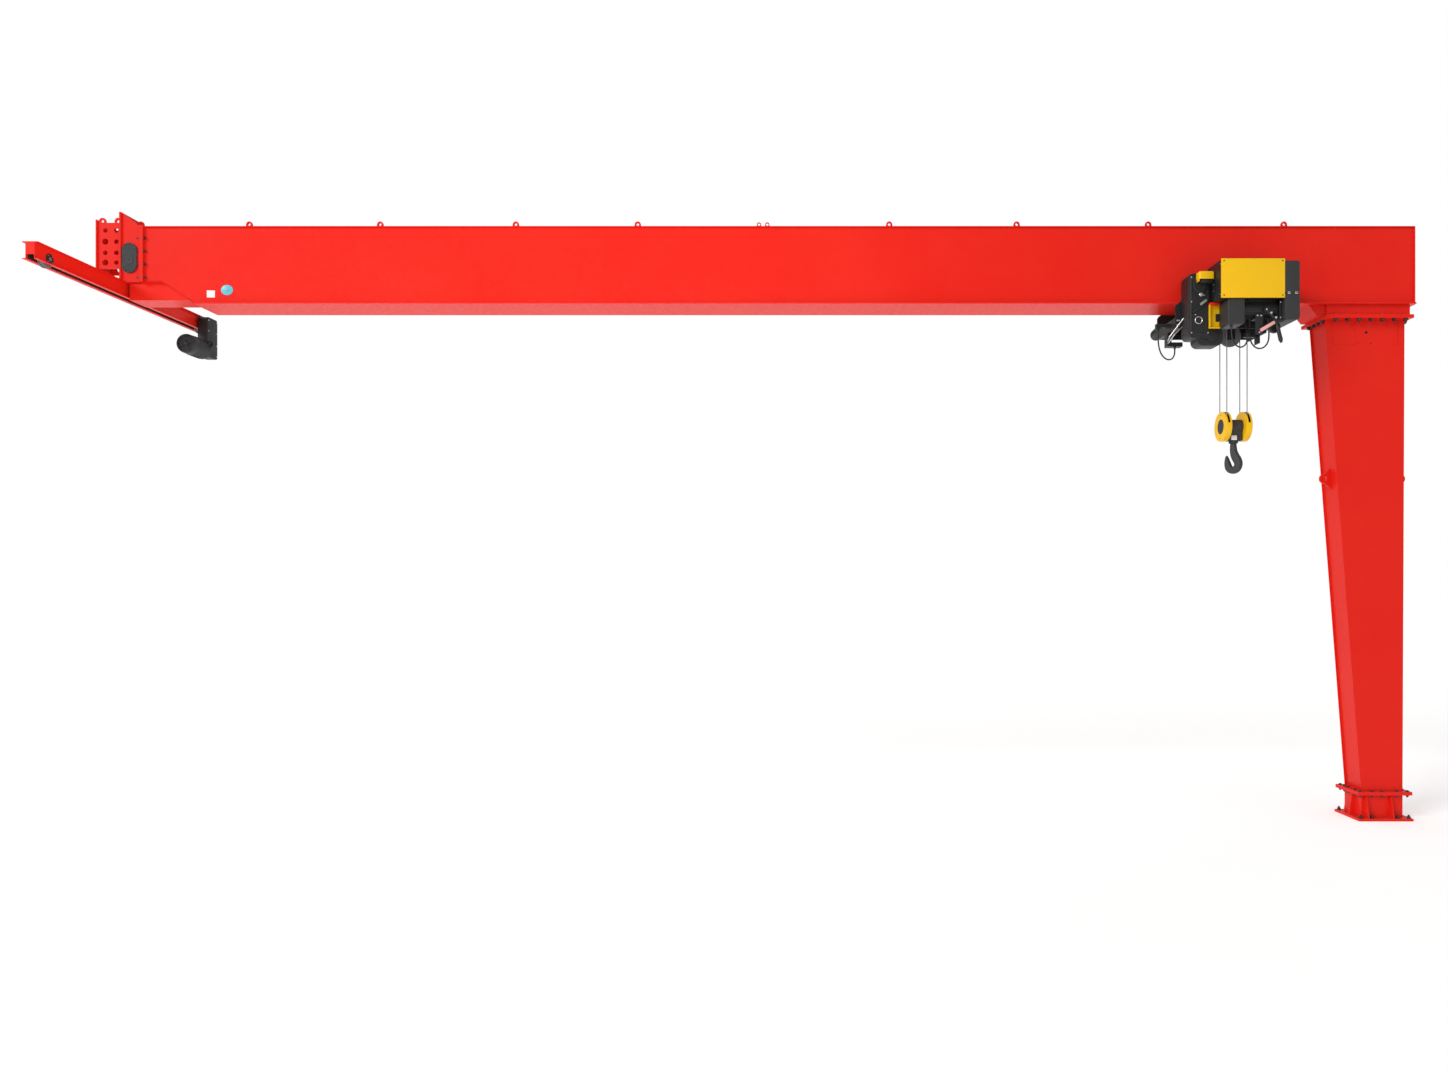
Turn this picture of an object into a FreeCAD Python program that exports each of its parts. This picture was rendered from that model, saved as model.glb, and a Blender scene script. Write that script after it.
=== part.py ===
import FreeCAD, Part

import math
import os

Vector = FreeCAD.Vector

# Semi-gantry crane: one box girder, a box leg on a bolted pedestal at its right end, and an
# end carriage for a raised runway at its left end.  A rope hoist runs below the girder.
# Origin: centre of the base plate's underside.  +Z up, +X along the girder away from the
# runway, +Y towards the far side of the crane.  Millimetres.

# ---------------------------------------------------------------- driving dimensions
# girder
GIRDER_RIGHT = 430.0
GIRDER_LEFT = -17700.0
GIRDER_BOTTOM = 7360.0
GIRDER_HEIGHT = 1120.0
WEB_HALF = 250.0            # outer faces of the two webs
WEB_T = 8.0
TOP_FLANGE_HALF = 275.0
TOP_FLANGE_T = 12.0
BOTTOM_FLANGE_HALF = 330.0
BOTTOM_FLANGE_T = 20.0
TAPER_START = -16960.0      # the bottom flange ends here and the end taper begins
TAPER_END = -17450.0
END_BOTTOM = 7700.0         # underside of the webs past the taper
TAPER_PLATE_T = 12.0
END_PLATE_T = 16.0

# base plate, pedestal and leg
BASE_X = 773.0
BASE_Y = 663.0
BASE_T = 35.0
ANCHOR_HOLE_R = 17.0
ANCHOR_EDGE = 43.0          # hole centre to plate edge
ANCHOR_INNER_X = 185.0      # inner holes of the two long rows
PEDESTAL_HEIGHT = 328.0
PEDESTAL_WALL = 16.0
GUSSET_T = 22.0
GUSSET_TOP = 34.0           # reach of a gusset under the foot flange
GUSSET_FOOT_GAP = 8.0       # from a gusset's toe to the base plate's edge
FRONT_GUSSET_X = (-240.0, 115.0)
SIDE_GUSSET_Y = (-40.0,)
FOOT_FLANGE_T = 24.0
FOOT_FLANGE_X = 770.0
FOOT_FLANGE_Y = 610.0
LEG_HALF_BOTTOM = 296.0     # half width of the leg at its foot
LEG_TOP_LEFT = -816.0
LEG_TOP_RIGHT = 325.0
LEG_HALF_DEPTH = 220.0
LEG_PLATE_T = 10.0
LEG_SIDE_INSET = 25.0       # the narrow plates sit inside the wide plates' edges
HEAD_FLANGE_T = 25.0
HEAD_FLANGE_HALF_Y = 363.0
HEAD_FLANGE_LIP = 50.0      # past the leg's corners
HEAD_HEIGHT = 160.0
HEAD_WALL = 16.0
KNEE_REACH = 190.0          # how far the knee runs out along the girder
KNEE_FOOT = 70.0
KNEE_HALF_Y = 240.0
KNEE_T = 14.0
EAR_Z = 4900.0
EAR_REACH = 165.0
EAR_HALF_HEIGHT = 155.0
EAR_T = 30.0
EAR_HOLE_R = 37.5

# lifting lugs on the girder
LUG_XS = (-16320.0, -14420.0, -12450.0, -10680.0, -7030.0, -5180.0, -3270.0, -1300.0)
LUG_PAIR_X = -8860.0
LUG_PAIR_HALF = 60.0
LUG_T = 24.0
LUG_BASE_HALF = 68.0
LUG_HEIGHT = 112.0          # to the hole centre
LUG_HEAD_R = 44.0
LUG_HOLE_R = 20.0
LUG_PAIR_SLIM = 0.7         # the two lugs of the middle pair are narrower

# splice, end stub and hanger plates at the left end
SPLICE_T = 28.0
SPLICE_HALF_Y = 285.0
SPLICE_RISE = 14.0
STUB_LEFT = -18030.0
STUB_HALF_Y = 235.0
STUB_WALL = 12.0
HATCH_X = -17915.0
HATCH_Z = 8035.0
HATCH_HALF_X = 95.0
HATCH_HALF_Z = 205.0
HATCH_COVER_T = 16.0
HATCH_COVER_LAP = 12.0
TALL_PLATE_T = 22.0
TALL_PLATE_RISE = 210.0       # above the girder's web height
TALL_PLATE_TOP = GIRDER_BOTTOM + GIRDER_HEIGHT + TALL_PLATE_RISE
TALL_PLATE_HALF_Y = 260.0
HANGER_LEFT = -18430.0
HANGER_PLATE_T = 18.0
HANGER_HALF_Y = 175.0
HANGER_BOTTOM = 7900.0
HANGER_TOP = 8560.0
HANGER_EAR_R = 52.0
HANGER_HOLE_R = 44.0

# end carriage
CARRIAGE_X = -18040.0
CARRIAGE_HALF_LENGTH = 2050.0
CARRIAGE_HEIGHT = 220.0
CARRIAGE_HALF_WIDTH = 100.0
CARRIAGE_PLATE_T = 12.0
CARRIAGE_WEB_T = 8.0
CARRIAGE_WEB_GAP_HALF = 50.0
CARRIAGE_LIP_T = 10.0
CARRIAGE_WHEEL_R = 110.0
CARRIAGE_WHEEL_W = 64.0
CARRIAGE_WHEEL_DROP = 35.0  # below the lips
CARRIAGE_WHEEL_Y = 1780.0
CARRIAGE_AXLE_R = 24.0
CARRIAGE_END_PLATE_T = 16.0
SADDLE_HALF_Y = 200.0
SADDLE_BOTTOM = 7440.0
SADDLE_WALL = 12.0

# trolley and hoist
HOOK_X = -2031.0            # the hook's axis, on the girder's centre line
TROLLEY_PLATE_Y = 346.0     # inner faces of the side plates
TROLLEY_PLATE_T = 16.0
TROLLEY_LEFT = -3010.0
TROLLEY_RIGHT = -1640.0
TROLLEY_PLATE_BOTTOM = 7000.0
TROLLEY_PLATE_TOP = 7540.0
TROLLEY_WHEEL_R = 70.0
TROLLEY_WHEEL_W = 50.0
TROLLEY_WHEEL_Y = 294.0     # middle of the tread
TROLLEY_WHEEL_XS = (-2830.0, -1790.0)
TROLLEY_AXLE_R = 18.0
DRUM_Z = 7140.0
DRUM_R = 100.0
DRUM_LEFT = -2590.0
DRUM_RIGHT = -1790.0
DRUM_FLANGE_R = 114.0
DRUM_TOUCH = 0.3            # rope to drum
RUNNING_CLEARANCE = 0.05    # radial, for every shaft that turns

# hook block
FALL_Y = 120.0              # pitch radius of the block's sheaves
FALL_HALF_X = 146.0         # middle of the block to each sheave
ROPE_R = 7.0
BLOCK_Z = 5655.0
COVER_R = 214.0
COVER_HALF_T = 41.0
COVER_WALL = 8.0

DRUM_Y = -(FALL_Y + ROPE_R + DRUM_TOUCH + DRUM_R)    # the front falls leave the drum's back
HEAD_TOP = GIRDER_BOTTOM
HEAD_BOTTOM = GIRDER_BOTTOM - HEAD_HEIGHT
LEG_TOP = HEAD_BOTTOM - 2 * HEAD_FLANGE_T
PEDESTAL_TOP = BASE_T + PEDESTAL_HEIGHT
LEG_BOTTOM = PEDESTAL_TOP + 2 * FOOT_FLANGE_T
GIRDER_TOP = GIRDER_BOTTOM + GIRDER_HEIGHT
WEB_BOTTOM = GIRDER_BOTTOM + BOTTOM_FLANGE_T
WEB_TOP = GIRDER_TOP - TOP_FLANGE_T
STUB_RIGHT = GIRDER_LEFT - 2 * SPLICE_T
CARRIAGE_TOP = END_BOTTOM - TAPER_PLATE_T
CARRIAGE_BOTTOM = CARRIAGE_TOP - CARRIAGE_HEIGHT
CARRIAGE_WHEEL_Z = CARRIAGE_BOTTOM - CARRIAGE_WHEEL_DROP + CARRIAGE_WHEEL_R
HEAD_LEFT = LEG_TOP_LEFT - HEAD_FLANGE_LIP
HEAD_RIGHT = LEG_TOP_RIGHT + HEAD_FLANGE_LIP


# ---------------------------------------------------------------- plain shapes
def box(x0, x1, y0, y1, z0, z1):
    return Part.makeBox(x1 - x0, y1 - y0, z1 - z0, Vector(x0, y0, z0))


def cylinder(centre, axis, radius, length):
    """A cylinder centred on a point, along an axis."""
    axis = Vector(*axis)
    start = Vector(*centre) - axis * (length / 2)
    return Part.makeCylinder(radius, length, start, axis)


def ring(centre, axis, outer, inner, length):
    return cylinder(centre, axis, outer, length).cut(cylinder(centre, axis, inner, length * 2))


def prism(points, direction):
    """A closed outline of corner points, pushed along a direction."""
    corners = [Vector(*p) for p in points]
    face = Part.Face(Part.makePolygon(corners + corners[:1]))
    return face.extrude(Vector(*direction))


def side_plate(outline, y0, y1):
    """An outline of (x, z) corners as a plate from y0 to y1."""
    return prism([(x, y0, z) for x, z in outline], (0, y1 - y0, 0))


def end_plate(outline, x0, x1):
    """An outline of (y, z) corners as a plate from x0 to x1."""
    return prism([(x0, y, z) for y, z in outline], (x1 - x0, 0, 0))


def fuse(shapes):
    whole = shapes[0].multiFuse(shapes[1:])
    return whole.removeSplitter()


def cut_all(shape, tools):
    return shape.cut(Part.makeCompound(tools)) if tools else shape


def rounded_box(x0, x1, y0, y1, z0, z1, radius, along):
    """A box with the four edges along one axis rounded."""
    solid = box(x0, x1, y0, y1, z0, z1)
    direction = Vector(*along)
    edges = [e for e in solid.Edges if e.tangentAt(e.FirstParameter).cross(direction).Length < 1e-6]
    return solid.makeFillet(radius, edges)


def tube_box(x0, x1, y0, y1, z0, z1, wall):
    """An upright rectangular tube."""
    inner = box(x0 + wall, x1 - wall, y0 + wall, y1 - wall, z0 - 1, z1 + 1)
    return box(x0, x1, y0, y1, z0, z1).cut(inner)


NODES = {}


def node(name, *solids):
    NODES[name] = solids[0] if len(solids) == 1 else Part.makeCompound(list(solids))


# ---------------------------------------------------------------- foot and leg
def leg_left(z):
    share = (z - LEG_BOTTOM) / (LEG_TOP - LEG_BOTTOM)
    return -LEG_HALF_BOTTOM + share * (LEG_TOP_LEFT + LEG_HALF_BOTTOM)


def leg_right(z):
    share = (z - LEG_BOTTOM) / (LEG_TOP - LEG_BOTTOM)
    return LEG_HALF_BOTTOM + share * (LEG_TOP_RIGHT - LEG_HALF_BOTTOM)


def base_plate():
    plate = box(-BASE_X / 2, BASE_X / 2, -BASE_Y / 2, BASE_Y / 2, 0, BASE_T)
    outer_x = BASE_X / 2 - ANCHOR_EDGE
    outer_y = BASE_Y / 2 - ANCHOR_EDGE
    places = [(x, y) for x in (-outer_x, -ANCHOR_INNER_X, ANCHOR_INNER_X, outer_x)
              for y in (-outer_y, outer_y)]
    holes = [cylinder((x, y, BASE_T / 2), (0, 0, 1), ANCHOR_HOLE_R, BASE_T * 2) for x, y in places]
    return cut_all(plate, holes)


def pedestal_gussets():
    """Triangular gussets between the pedestal's walls, the base plate and the foot flange."""
    toe_y = BASE_Y / 2 - GUSSET_FOOT_GAP
    toe_x = BASE_X / 2 - GUSSET_FOOT_GAP
    wall_y, wall_x = LEG_HALF_DEPTH, LEG_HALF_BOTTOM
    gussets = []
    for side in (-1, 1):
        outline = [(side * wall_y, BASE_T), (side * toe_y, BASE_T),
                   (side * (wall_y + GUSSET_TOP), PEDESTAL_TOP), (side * wall_y, PEDESTAL_TOP)]
        for x in FRONT_GUSSET_X:
            gussets.append(end_plate(outline, x - GUSSET_T / 2, x + GUSSET_T / 2))
        outline = [(side * wall_x, BASE_T), (side * toe_x, BASE_T),
                   (side * (wall_x + GUSSET_TOP), PEDESTAL_TOP), (side * wall_x, PEDESTAL_TOP)]
        for y in SIDE_GUSSET_Y:
            gussets.append(side_plate(outline, y - GUSSET_T / 2, y + GUSSET_T / 2))
    return gussets


def foot_flange(z):
    half_x, half_y = FOOT_FLANGE_X / 2, FOOT_FLANGE_Y / 2
    return box(-half_x, half_x, -half_y, half_y, z, z + FOOT_FLANGE_T)


def leg_wide_plate(y0, y1):
    outline = [(leg_left(LEG_BOTTOM), LEG_BOTTOM), (leg_right(LEG_BOTTOM), LEG_BOTTOM),
               (leg_right(LEG_TOP), LEG_TOP), (leg_left(LEG_TOP), LEG_TOP)]
    return side_plate(outline, y0, y1)


def leg_narrow_plate(edge, inward):
    """A plate between the two wide ones, parallel to one of their edges."""
    near = LEG_SIDE_INSET * inward
    far = (LEG_SIDE_INSET + LEG_PLATE_T) * inward
    outline = [(edge(LEG_BOTTOM) + near, LEG_BOTTOM), (edge(LEG_BOTTOM) + far, LEG_BOTTOM),
               (edge(LEG_TOP) + far, LEG_TOP), (edge(LEG_TOP) + near, LEG_TOP)]
    inner_y = LEG_HALF_DEPTH - LEG_PLATE_T
    return side_plate(outline, -inner_y, inner_y)


def leg_ear(edge, outward):
    """A rigging ear on a narrow face: a plate with a round nose and an eye."""
    def face(z):
        return edge(z) - LEG_SIDE_INSET * outward

    nose_r = EAR_HOLE_R + 32
    eye_x = face(EAR_Z) + outward * (EAR_REACH - nose_r)
    low, high = EAR_Z - EAR_HALF_HEIGHT, EAR_Z + EAR_HALF_HEIGHT
    outline = [(face(low), low), (eye_x, EAR_Z - nose_r), (eye_x, EAR_Z + nose_r), (face(high), high)]
    body = side_plate(outline, -EAR_T / 2, EAR_T / 2)
    nose = cylinder((eye_x, 0, EAR_Z), (0, 1, 0), nose_r, EAR_T)
    eye = cylinder((eye_x, 0, EAR_Z), (0, 1, 0), EAR_HOLE_R, EAR_T * 2)
    behind = side_plate([(face(low), low), (face(high), high), (face(high) - outward * EAR_REACH, high),
                         (face(low) - outward * EAR_REACH, low)], -EAR_T, EAR_T)
    return fuse([body, nose]).cut(eye).cut(behind)


def head_flange(z):
    y = HEAD_FLANGE_HALF_Y
    return box(HEAD_LEFT, HEAD_RIGHT, -y, y, z, z + HEAD_FLANGE_T)


def knee():
    """The sloped knee between the girder's underside and the head: a plate and two cheeks."""
    top_x, foot_x = HEAD_LEFT - KNEE_REACH, HEAD_LEFT - KNEE_FOOT
    slope = [(top_x, HEAD_TOP), (foot_x, HEAD_BOTTOM),
             (foot_x + KNEE_T, HEAD_BOTTOM), (top_x + KNEE_T, HEAD_TOP)]
    face = side_plate(slope, -KNEE_HALF_Y, KNEE_HALF_Y)
    cheek = [(top_x, HEAD_TOP), (foot_x, HEAD_BOTTOM),
             (LEG_TOP_LEFT, HEAD_BOTTOM), (LEG_TOP_LEFT, HEAD_TOP)]
    near = side_plate(cheek, -KNEE_HALF_Y, -KNEE_HALF_Y + KNEE_T)
    far = side_plate(cheek, KNEE_HALF_Y - KNEE_T, KNEE_HALF_Y)
    floor = box(foot_x, HEAD_LEFT, -KNEE_HALF_Y, KNEE_HALF_Y, HEAD_BOTTOM, HEAD_BOTTOM + KNEE_T)
    return fuse([face, near, far, floor])


def make_leg():
    walls = tube_box(-LEG_HALF_BOTTOM, LEG_HALF_BOTTOM, -LEG_HALF_DEPTH, LEG_HALF_DEPTH,
                     BASE_T, PEDESTAL_TOP, PEDESTAL_WALL)
    node("base_plate", base_plate())
    node("pedestal", fuse([walls, foot_flange(PEDESTAL_TOP)]))
    node("pedestal_gussets", *pedestal_gussets())
    node("leg_foot_flange", foot_flange(PEDESTAL_TOP + FOOT_FLANGE_T))
    node("leg_wide_plates", leg_wide_plate(-LEG_HALF_DEPTH, -LEG_HALF_DEPTH + LEG_PLATE_T),
         leg_wide_plate(LEG_HALF_DEPTH - LEG_PLATE_T, LEG_HALF_DEPTH))
    node("leg_side_plates", leg_narrow_plate(leg_left, 1), leg_narrow_plate(leg_right, -1))
    node("leg_ears", leg_ear(leg_left, -1), leg_ear(leg_right, 1))
    node("leg_head_flange", head_flange(LEG_TOP))
    head_half = WEB_HALF + HEAD_WALL
    head = tube_box(LEG_TOP_LEFT, HEAD_RIGHT, -head_half, head_half, HEAD_BOTTOM, HEAD_TOP, HEAD_WALL)
    node("leg_head", fuse([head, head_flange(LEG_TOP + HEAD_FLANGE_T)]))
    node("knee", knee())


# ---------------------------------------------------------------- girder
def girder_web(y0, y1):
    outline = [(GIRDER_LEFT, WEB_TOP), (GIRDER_RIGHT, WEB_TOP), (GIRDER_RIGHT, WEB_BOTTOM),
               (TAPER_START, WEB_BOTTOM), (TAPER_END, END_BOTTOM), (GIRDER_LEFT, END_BOTTOM)]
    return side_plate(outline, y0, y1)


def taper_plate():
    """The bottom plate that follows the taper to the girder's end."""
    drop = TAPER_PLATE_T
    outline = [(TAPER_START, WEB_BOTTOM), (TAPER_END, END_BOTTOM), (GIRDER_LEFT, END_BOTTOM),
               (GIRDER_LEFT, END_BOTTOM - drop), (TAPER_END, END_BOTTOM - drop),
               (TAPER_START, WEB_BOTTOM - drop)]
    return side_plate(outline, -WEB_HALF, WEB_HALF)


def lifting_lug(x, slim=1.0):
    """A trapezoid plate with a round head and an eye, standing on the top flange."""
    eye_z = GIRDER_TOP + LUG_HEIGHT
    half, head = LUG_BASE_HALF * slim, LUG_HEAD_R * slim
    outline = [(x - half, GIRDER_TOP), (x + half, GIRDER_TOP), (x + head, eye_z), (x - head, eye_z)]
    body = side_plate(outline, -LUG_T / 2, LUG_T / 2)
    top = cylinder((x, 0, eye_z), (0, 1, 0), head, LUG_T)
    eye = cylinder((x, 0, eye_z), (0, 1, 0), LUG_HOLE_R, LUG_T * 2)
    return fuse([body, top]).cut(eye)


def make_girder():
    node("girder_webs", girder_web(-WEB_HALF, -WEB_HALF + WEB_T), girder_web(WEB_HALF - WEB_T, WEB_HALF))
    node("girder_top_flange", box(GIRDER_LEFT, GIRDER_RIGHT, -TOP_FLANGE_HALF, TOP_FLANGE_HALF,
                                  WEB_TOP, GIRDER_TOP))
    flange = box(TAPER_START, GIRDER_RIGHT, -BOTTOM_FLANGE_HALF, BOTTOM_FLANGE_HALF,
                 GIRDER_BOTTOM, WEB_BOTTOM)
    node("girder_bottom_flange", fuse([flange, taper_plate()]))
    node("girder_end_plate", box(GIRDER_RIGHT, GIRDER_RIGHT + END_PLATE_T, -TOP_FLANGE_HALF,
                                 TOP_FLANGE_HALF, GIRDER_BOTTOM, GIRDER_TOP))
    pair = [LUG_PAIR_X - LUG_PAIR_HALF, LUG_PAIR_X + LUG_PAIR_HALF]
    lugs = [lifting_lug(x) for x in LUG_XS] + [lifting_lug(x, LUG_PAIR_SLIM) for x in pair]
    node("girder_lifting_lugs", *lugs)


# ---------------------------------------------------------------- left end
def splice_flange(x0):
    half = SPLICE_HALF_Y
    return box(x0, x0 + SPLICE_T, -half, half, END_BOTTOM - TAPER_PLATE_T, GIRDER_TOP + SPLICE_RISE)


def oval(half_x, half_z, y0, y1):
    """A standing slot shape: two half circles and straight sides."""
    straight = half_z - half_x
    depth = (y1 - y0)
    middle_y = (y0 + y1) / 2
    ends = [cylinder((HATCH_X, middle_y, HATCH_Z + s * straight), (0, 1, 0), half_x, depth)
            for s in (-1, 1)]
    middle = box(HATCH_X - half_x, HATCH_X + half_x, y0, y1, HATCH_Z - straight, HATCH_Z + straight)
    return fuse([middle] + ends)


def stub_walls():
    """The bolted end piece's box, with an oval inspection hatch through each side wall."""
    walls = tube_box(STUB_LEFT, STUB_RIGHT, -STUB_HALF_Y, STUB_HALF_Y, CARRIAGE_TOP, GIRDER_TOP, STUB_WALL)
    hatch = oval(HATCH_HALF_X, HATCH_HALF_Z, -STUB_HALF_Y - 1, STUB_HALF_Y + 1)
    return walls.cut(hatch)


def hatch_cover(side):
    y = side * STUB_HALF_Y
    y0, y1 = sorted((y, y + side * HATCH_COVER_T))
    return oval(HATCH_HALF_X + HATCH_COVER_LAP, HATCH_HALF_Z + HATCH_COVER_LAP, y0, y1)


def stub_gusset(side):
    """A sloping plate over the stub, from the tall plate's top down to the splice."""
    y0, y1 = sorted((side * STUB_HALF_Y, side * (STUB_HALF_Y - STUB_WALL)))
    outline = [(STUB_LEFT, GIRDER_TOP), (STUB_RIGHT, GIRDER_TOP), (STUB_LEFT, TALL_PLATE_TOP)]
    return side_plate(outline, y0, y1)


def stub_lug():
    x = (STUB_LEFT + STUB_RIGHT) / 2
    base = box(x - LUG_BASE_HALF, x + LUG_BASE_HALF, -STUB_HALF_Y + STUB_WALL, STUB_HALF_Y - STUB_WALL,
               GIRDER_TOP, GIRDER_TOP + STUB_WALL)
    return fuse([lifting_lug(x), base])


def hanger_plate(side):
    """One of the two perforated plates past the tall plate, with two round ears on top."""
    right = STUB_LEFT - TALL_PLATE_T
    left = HANGER_LEFT + HANGER_PLATE_T
    width = right - left
    y0, y1 = sorted((side * HANGER_HALF_Y, side * (HANGER_HALF_Y - HANGER_PLATE_T)))
    middle_y = (y0 + y1) / 2
    plate = box(left, right, y0, y1, HANGER_BOTTOM, HANGER_TOP)
    ear_xs = (left + HANGER_EAR_R * 1.3, right - HANGER_EAR_R * 1.3)
    parts = [plate]
    for x in ear_xs:
        parts.append(cylinder((x, middle_y, HANGER_TOP + 20), (0, 1, 0), HANGER_EAR_R, HANGER_PLATE_T))
    holes = []
    for x in ear_xs:
        holes.append(((x, HANGER_TOP + 20), HANGER_HOLE_R * 0.5))
    for i, z in enumerate((HANGER_TOP - 110, HANGER_TOP - 270, HANGER_TOP - 430, HANGER_TOP - 570)):
        big = 1.0 if i % 2 else 0.75
        holes.append(((left + width * 0.3, z), HANGER_HOLE_R * big))
        holes.append(((left + width * 0.74, z), HANGER_HOLE_R * 0.75))
    tools = [cylinder((x, middle_y, z), (0, 1, 0), r, HANGER_PLATE_T * 3) for (x, z), r in holes]
    return cut_all(fuse(parts), tools)


def make_left_end():
    node("girder_splice_flange", splice_flange(GIRDER_LEFT - SPLICE_T))
    node("stub_box", fuse([stub_walls(), splice_flange(STUB_RIGHT), stub_lug()]))
    node("stub_hatch_covers", hatch_cover(-1), hatch_cover(1))
    half = TALL_PLATE_HALF_Y
    tall = box(STUB_LEFT - TALL_PLATE_T, STUB_LEFT, -half, half, CARRIAGE_TOP, TALL_PLATE_TOP)
    node("tall_end_plate", fuse([tall, stub_gusset(-1), stub_gusset(1)]))
    node("hanger_plates", hanger_plate(-1), hanger_plate(1))
    half = HANGER_HALF_Y + 20
    node("hanger_end_plate", box(HANGER_LEFT, HANGER_LEFT + HANGER_PLATE_T, -half, half,
                                 HANGER_BOTTOM - 40, HANGER_TOP + 40))


# ---------------------------------------------------------------- end carriage
def carriage_web(side):
    """A web with an outward lip along its bottom."""
    inner = CARRIAGE_WEB_GAP_HALF
    outer = inner + CARRIAGE_WEB_T
    x = [CARRIAGE_X + side * v for v in (inner, outer, CARRIAGE_HALF_WIDTH)]
    z0, z1 = CARRIAGE_BOTTOM, CARRIAGE_TOP - CARRIAGE_PLATE_T
    corners = [(x[0], z0), (x[2], z0), (x[2], z0 + CARRIAGE_LIP_T), (x[1], z0 + CARRIAGE_LIP_T),
               (x[1], z1), (x[0], z1)]
    length = CARRIAGE_HALF_LENGTH
    web = side_plate(corners, -length, length)
    holes = [cylinder((CARRIAGE_X, y, CARRIAGE_WHEEL_Z), (1, 0, 0), CARRIAGE_AXLE_R, 400)
             for y in (-CARRIAGE_WHEEL_Y, CARRIAGE_WHEEL_Y)]
    return cut_all(web, holes)


def carriage_wheel(y):
    """A double-flanged wheel with its axle."""
    centre = (CARRIAGE_X, y, CARRIAGE_WHEEL_Z)
    tread = cylinder(centre, (1, 0, 0), CARRIAGE_WHEEL_R - 14, CARRIAGE_WHEEL_W)
    flange_t = 10.0
    offset = CARRIAGE_WHEEL_W / 2 - flange_t / 2
    flanges = [cylinder((CARRIAGE_X + s * offset, y, CARRIAGE_WHEEL_Z), (1, 0, 0),
                        CARRIAGE_WHEEL_R, flange_t) for s in (-1, 1)]
    axle_length = 2 * (CARRIAGE_WEB_GAP_HALF + CARRIAGE_WEB_T) + 24
    axle = cylinder(centre, (1, 0, 0), CARRIAGE_AXLE_R - RUNNING_CLEARANCE, axle_length)
    return fuse([tread, axle] + flanges)


def saddle():
    """The bracket that joins the carriage to the girder's tapered end."""
    left = CARRIAGE_X + CARRIAGE_HALF_WIDTH
    top = END_BOTTOM - TAPER_PLATE_T
    rise = (END_BOTTOM - WEB_BOTTOM) / (TAPER_START - TAPER_END)
    toe = TAPER_END + (top - SADDLE_BOTTOM) / rise
    outline = [(left, SADDLE_BOTTOM), (toe, SADDLE_BOTTOM), (TAPER_END, top), (left, top)]
    near = side_plate(outline, -SADDLE_HALF_Y, -SADDLE_HALF_Y + SADDLE_WALL)
    far = side_plate(outline, SADDLE_HALF_Y - SADDLE_WALL, SADDLE_HALF_Y)
    floor = box(left, toe - 20, -SADDLE_HALF_Y, SADDLE_HALF_Y, SADDLE_BOTTOM, SADDLE_BOTTOM + SADDLE_WALL)
    heel = box(left, left + SADDLE_WALL, -SADDLE_HALF_Y, SADDLE_HALF_Y, SADDLE_BOTTOM, top)
    return fuse([near, far, floor, heel])


def make_carriage():
    half = CARRIAGE_HALF_WIDTH
    length = CARRIAGE_HALF_LENGTH
    node("carriage_top_plate", box(CARRIAGE_X - half, CARRIAGE_X + half, -length, length,
                                   CARRIAGE_TOP - CARRIAGE_PLATE_T, CARRIAGE_TOP))
    node("carriage_webs", carriage_web(-1), carriage_web(1))
    inner = CARRIAGE_WEB_GAP_HALF
    top = CARRIAGE_TOP - CARRIAGE_PLATE_T
    ends = []
    for side in (-1, 1):
        y0, y1 = sorted((side * length, side * (length - CARRIAGE_END_PLATE_T)))
        ends.append(box(CARRIAGE_X - inner, CARRIAGE_X + inner, y0, y1, CARRIAGE_BOTTOM + 60, top))
    node("carriage_ends", *ends)
    node("carriage_wheel_near", carriage_wheel(-CARRIAGE_WHEEL_Y))
    node("carriage_wheel_far", carriage_wheel(CARRIAGE_WHEEL_Y))
    node("saddle_bracket", saddle())


# ---------------------------------------------------------------- trolley
TOWER_HALF = 85.0           # the side plates rise to the axles here
LOWER_BEAM_TOP = 7400.0
TIE_HEIGHT = 150.0
TIE_WIDTH = 70.0
FRAME_T = 20.0
FRAME_LEFT = -2660.0        # outer face of the left drum frame
FRAME_RIGHT = -1730.0
FRAME_TOP = 7330.0
WHEEL_SEAT_GAP = 0.3
AXLE_SHY = 4.0              # the stub axles end inside the side plates
TROLLEY_WHEEL_Z = WEB_BOTTOM + TROLLEY_WHEEL_R + WHEEL_SEAT_GAP
BUFFER_Z = 7045.0
TOW_ARM_LEFT = -3210.0
COUNTERWEIGHT = (-2600.0, -1900.0, 500.0, 760.0, 7250.0, 7640.0)


def trolley_side_plate(side):
    """A plate beside the flange, with a tower at each wheel and a bore for its axle."""
    z0, z1, z2 = TROLLEY_PLATE_BOTTOM, LOWER_BEAM_TOP, TROLLEY_PLATE_TOP
    a, b = TROLLEY_WHEEL_XS
    h = TOWER_HALF
    outline = [(TROLLEY_LEFT, z0), (TROLLEY_RIGHT, z0), (TROLLEY_RIGHT, z1), (b + h, z1 + h / 2),
               (b + h / 2, z2), (b - h / 2, z2), (b - h, z1), (a + h, z1), (a + h / 2, z2),
               (a - h / 2, z2), (a - h, z1), (TROLLEY_LEFT, z1 - h)]
    y0, y1 = sorted((side * TROLLEY_PLATE_Y, side * (TROLLEY_PLATE_Y + TROLLEY_PLATE_T)))
    bores = [cylinder((x, side * TROLLEY_PLATE_Y, TROLLEY_WHEEL_Z), (0, 1, 0), TROLLEY_AXLE_R, 100)
             for x in TROLLEY_WHEEL_XS]
    return cut_all(side_plate(outline, y0, y1), bores)


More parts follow.
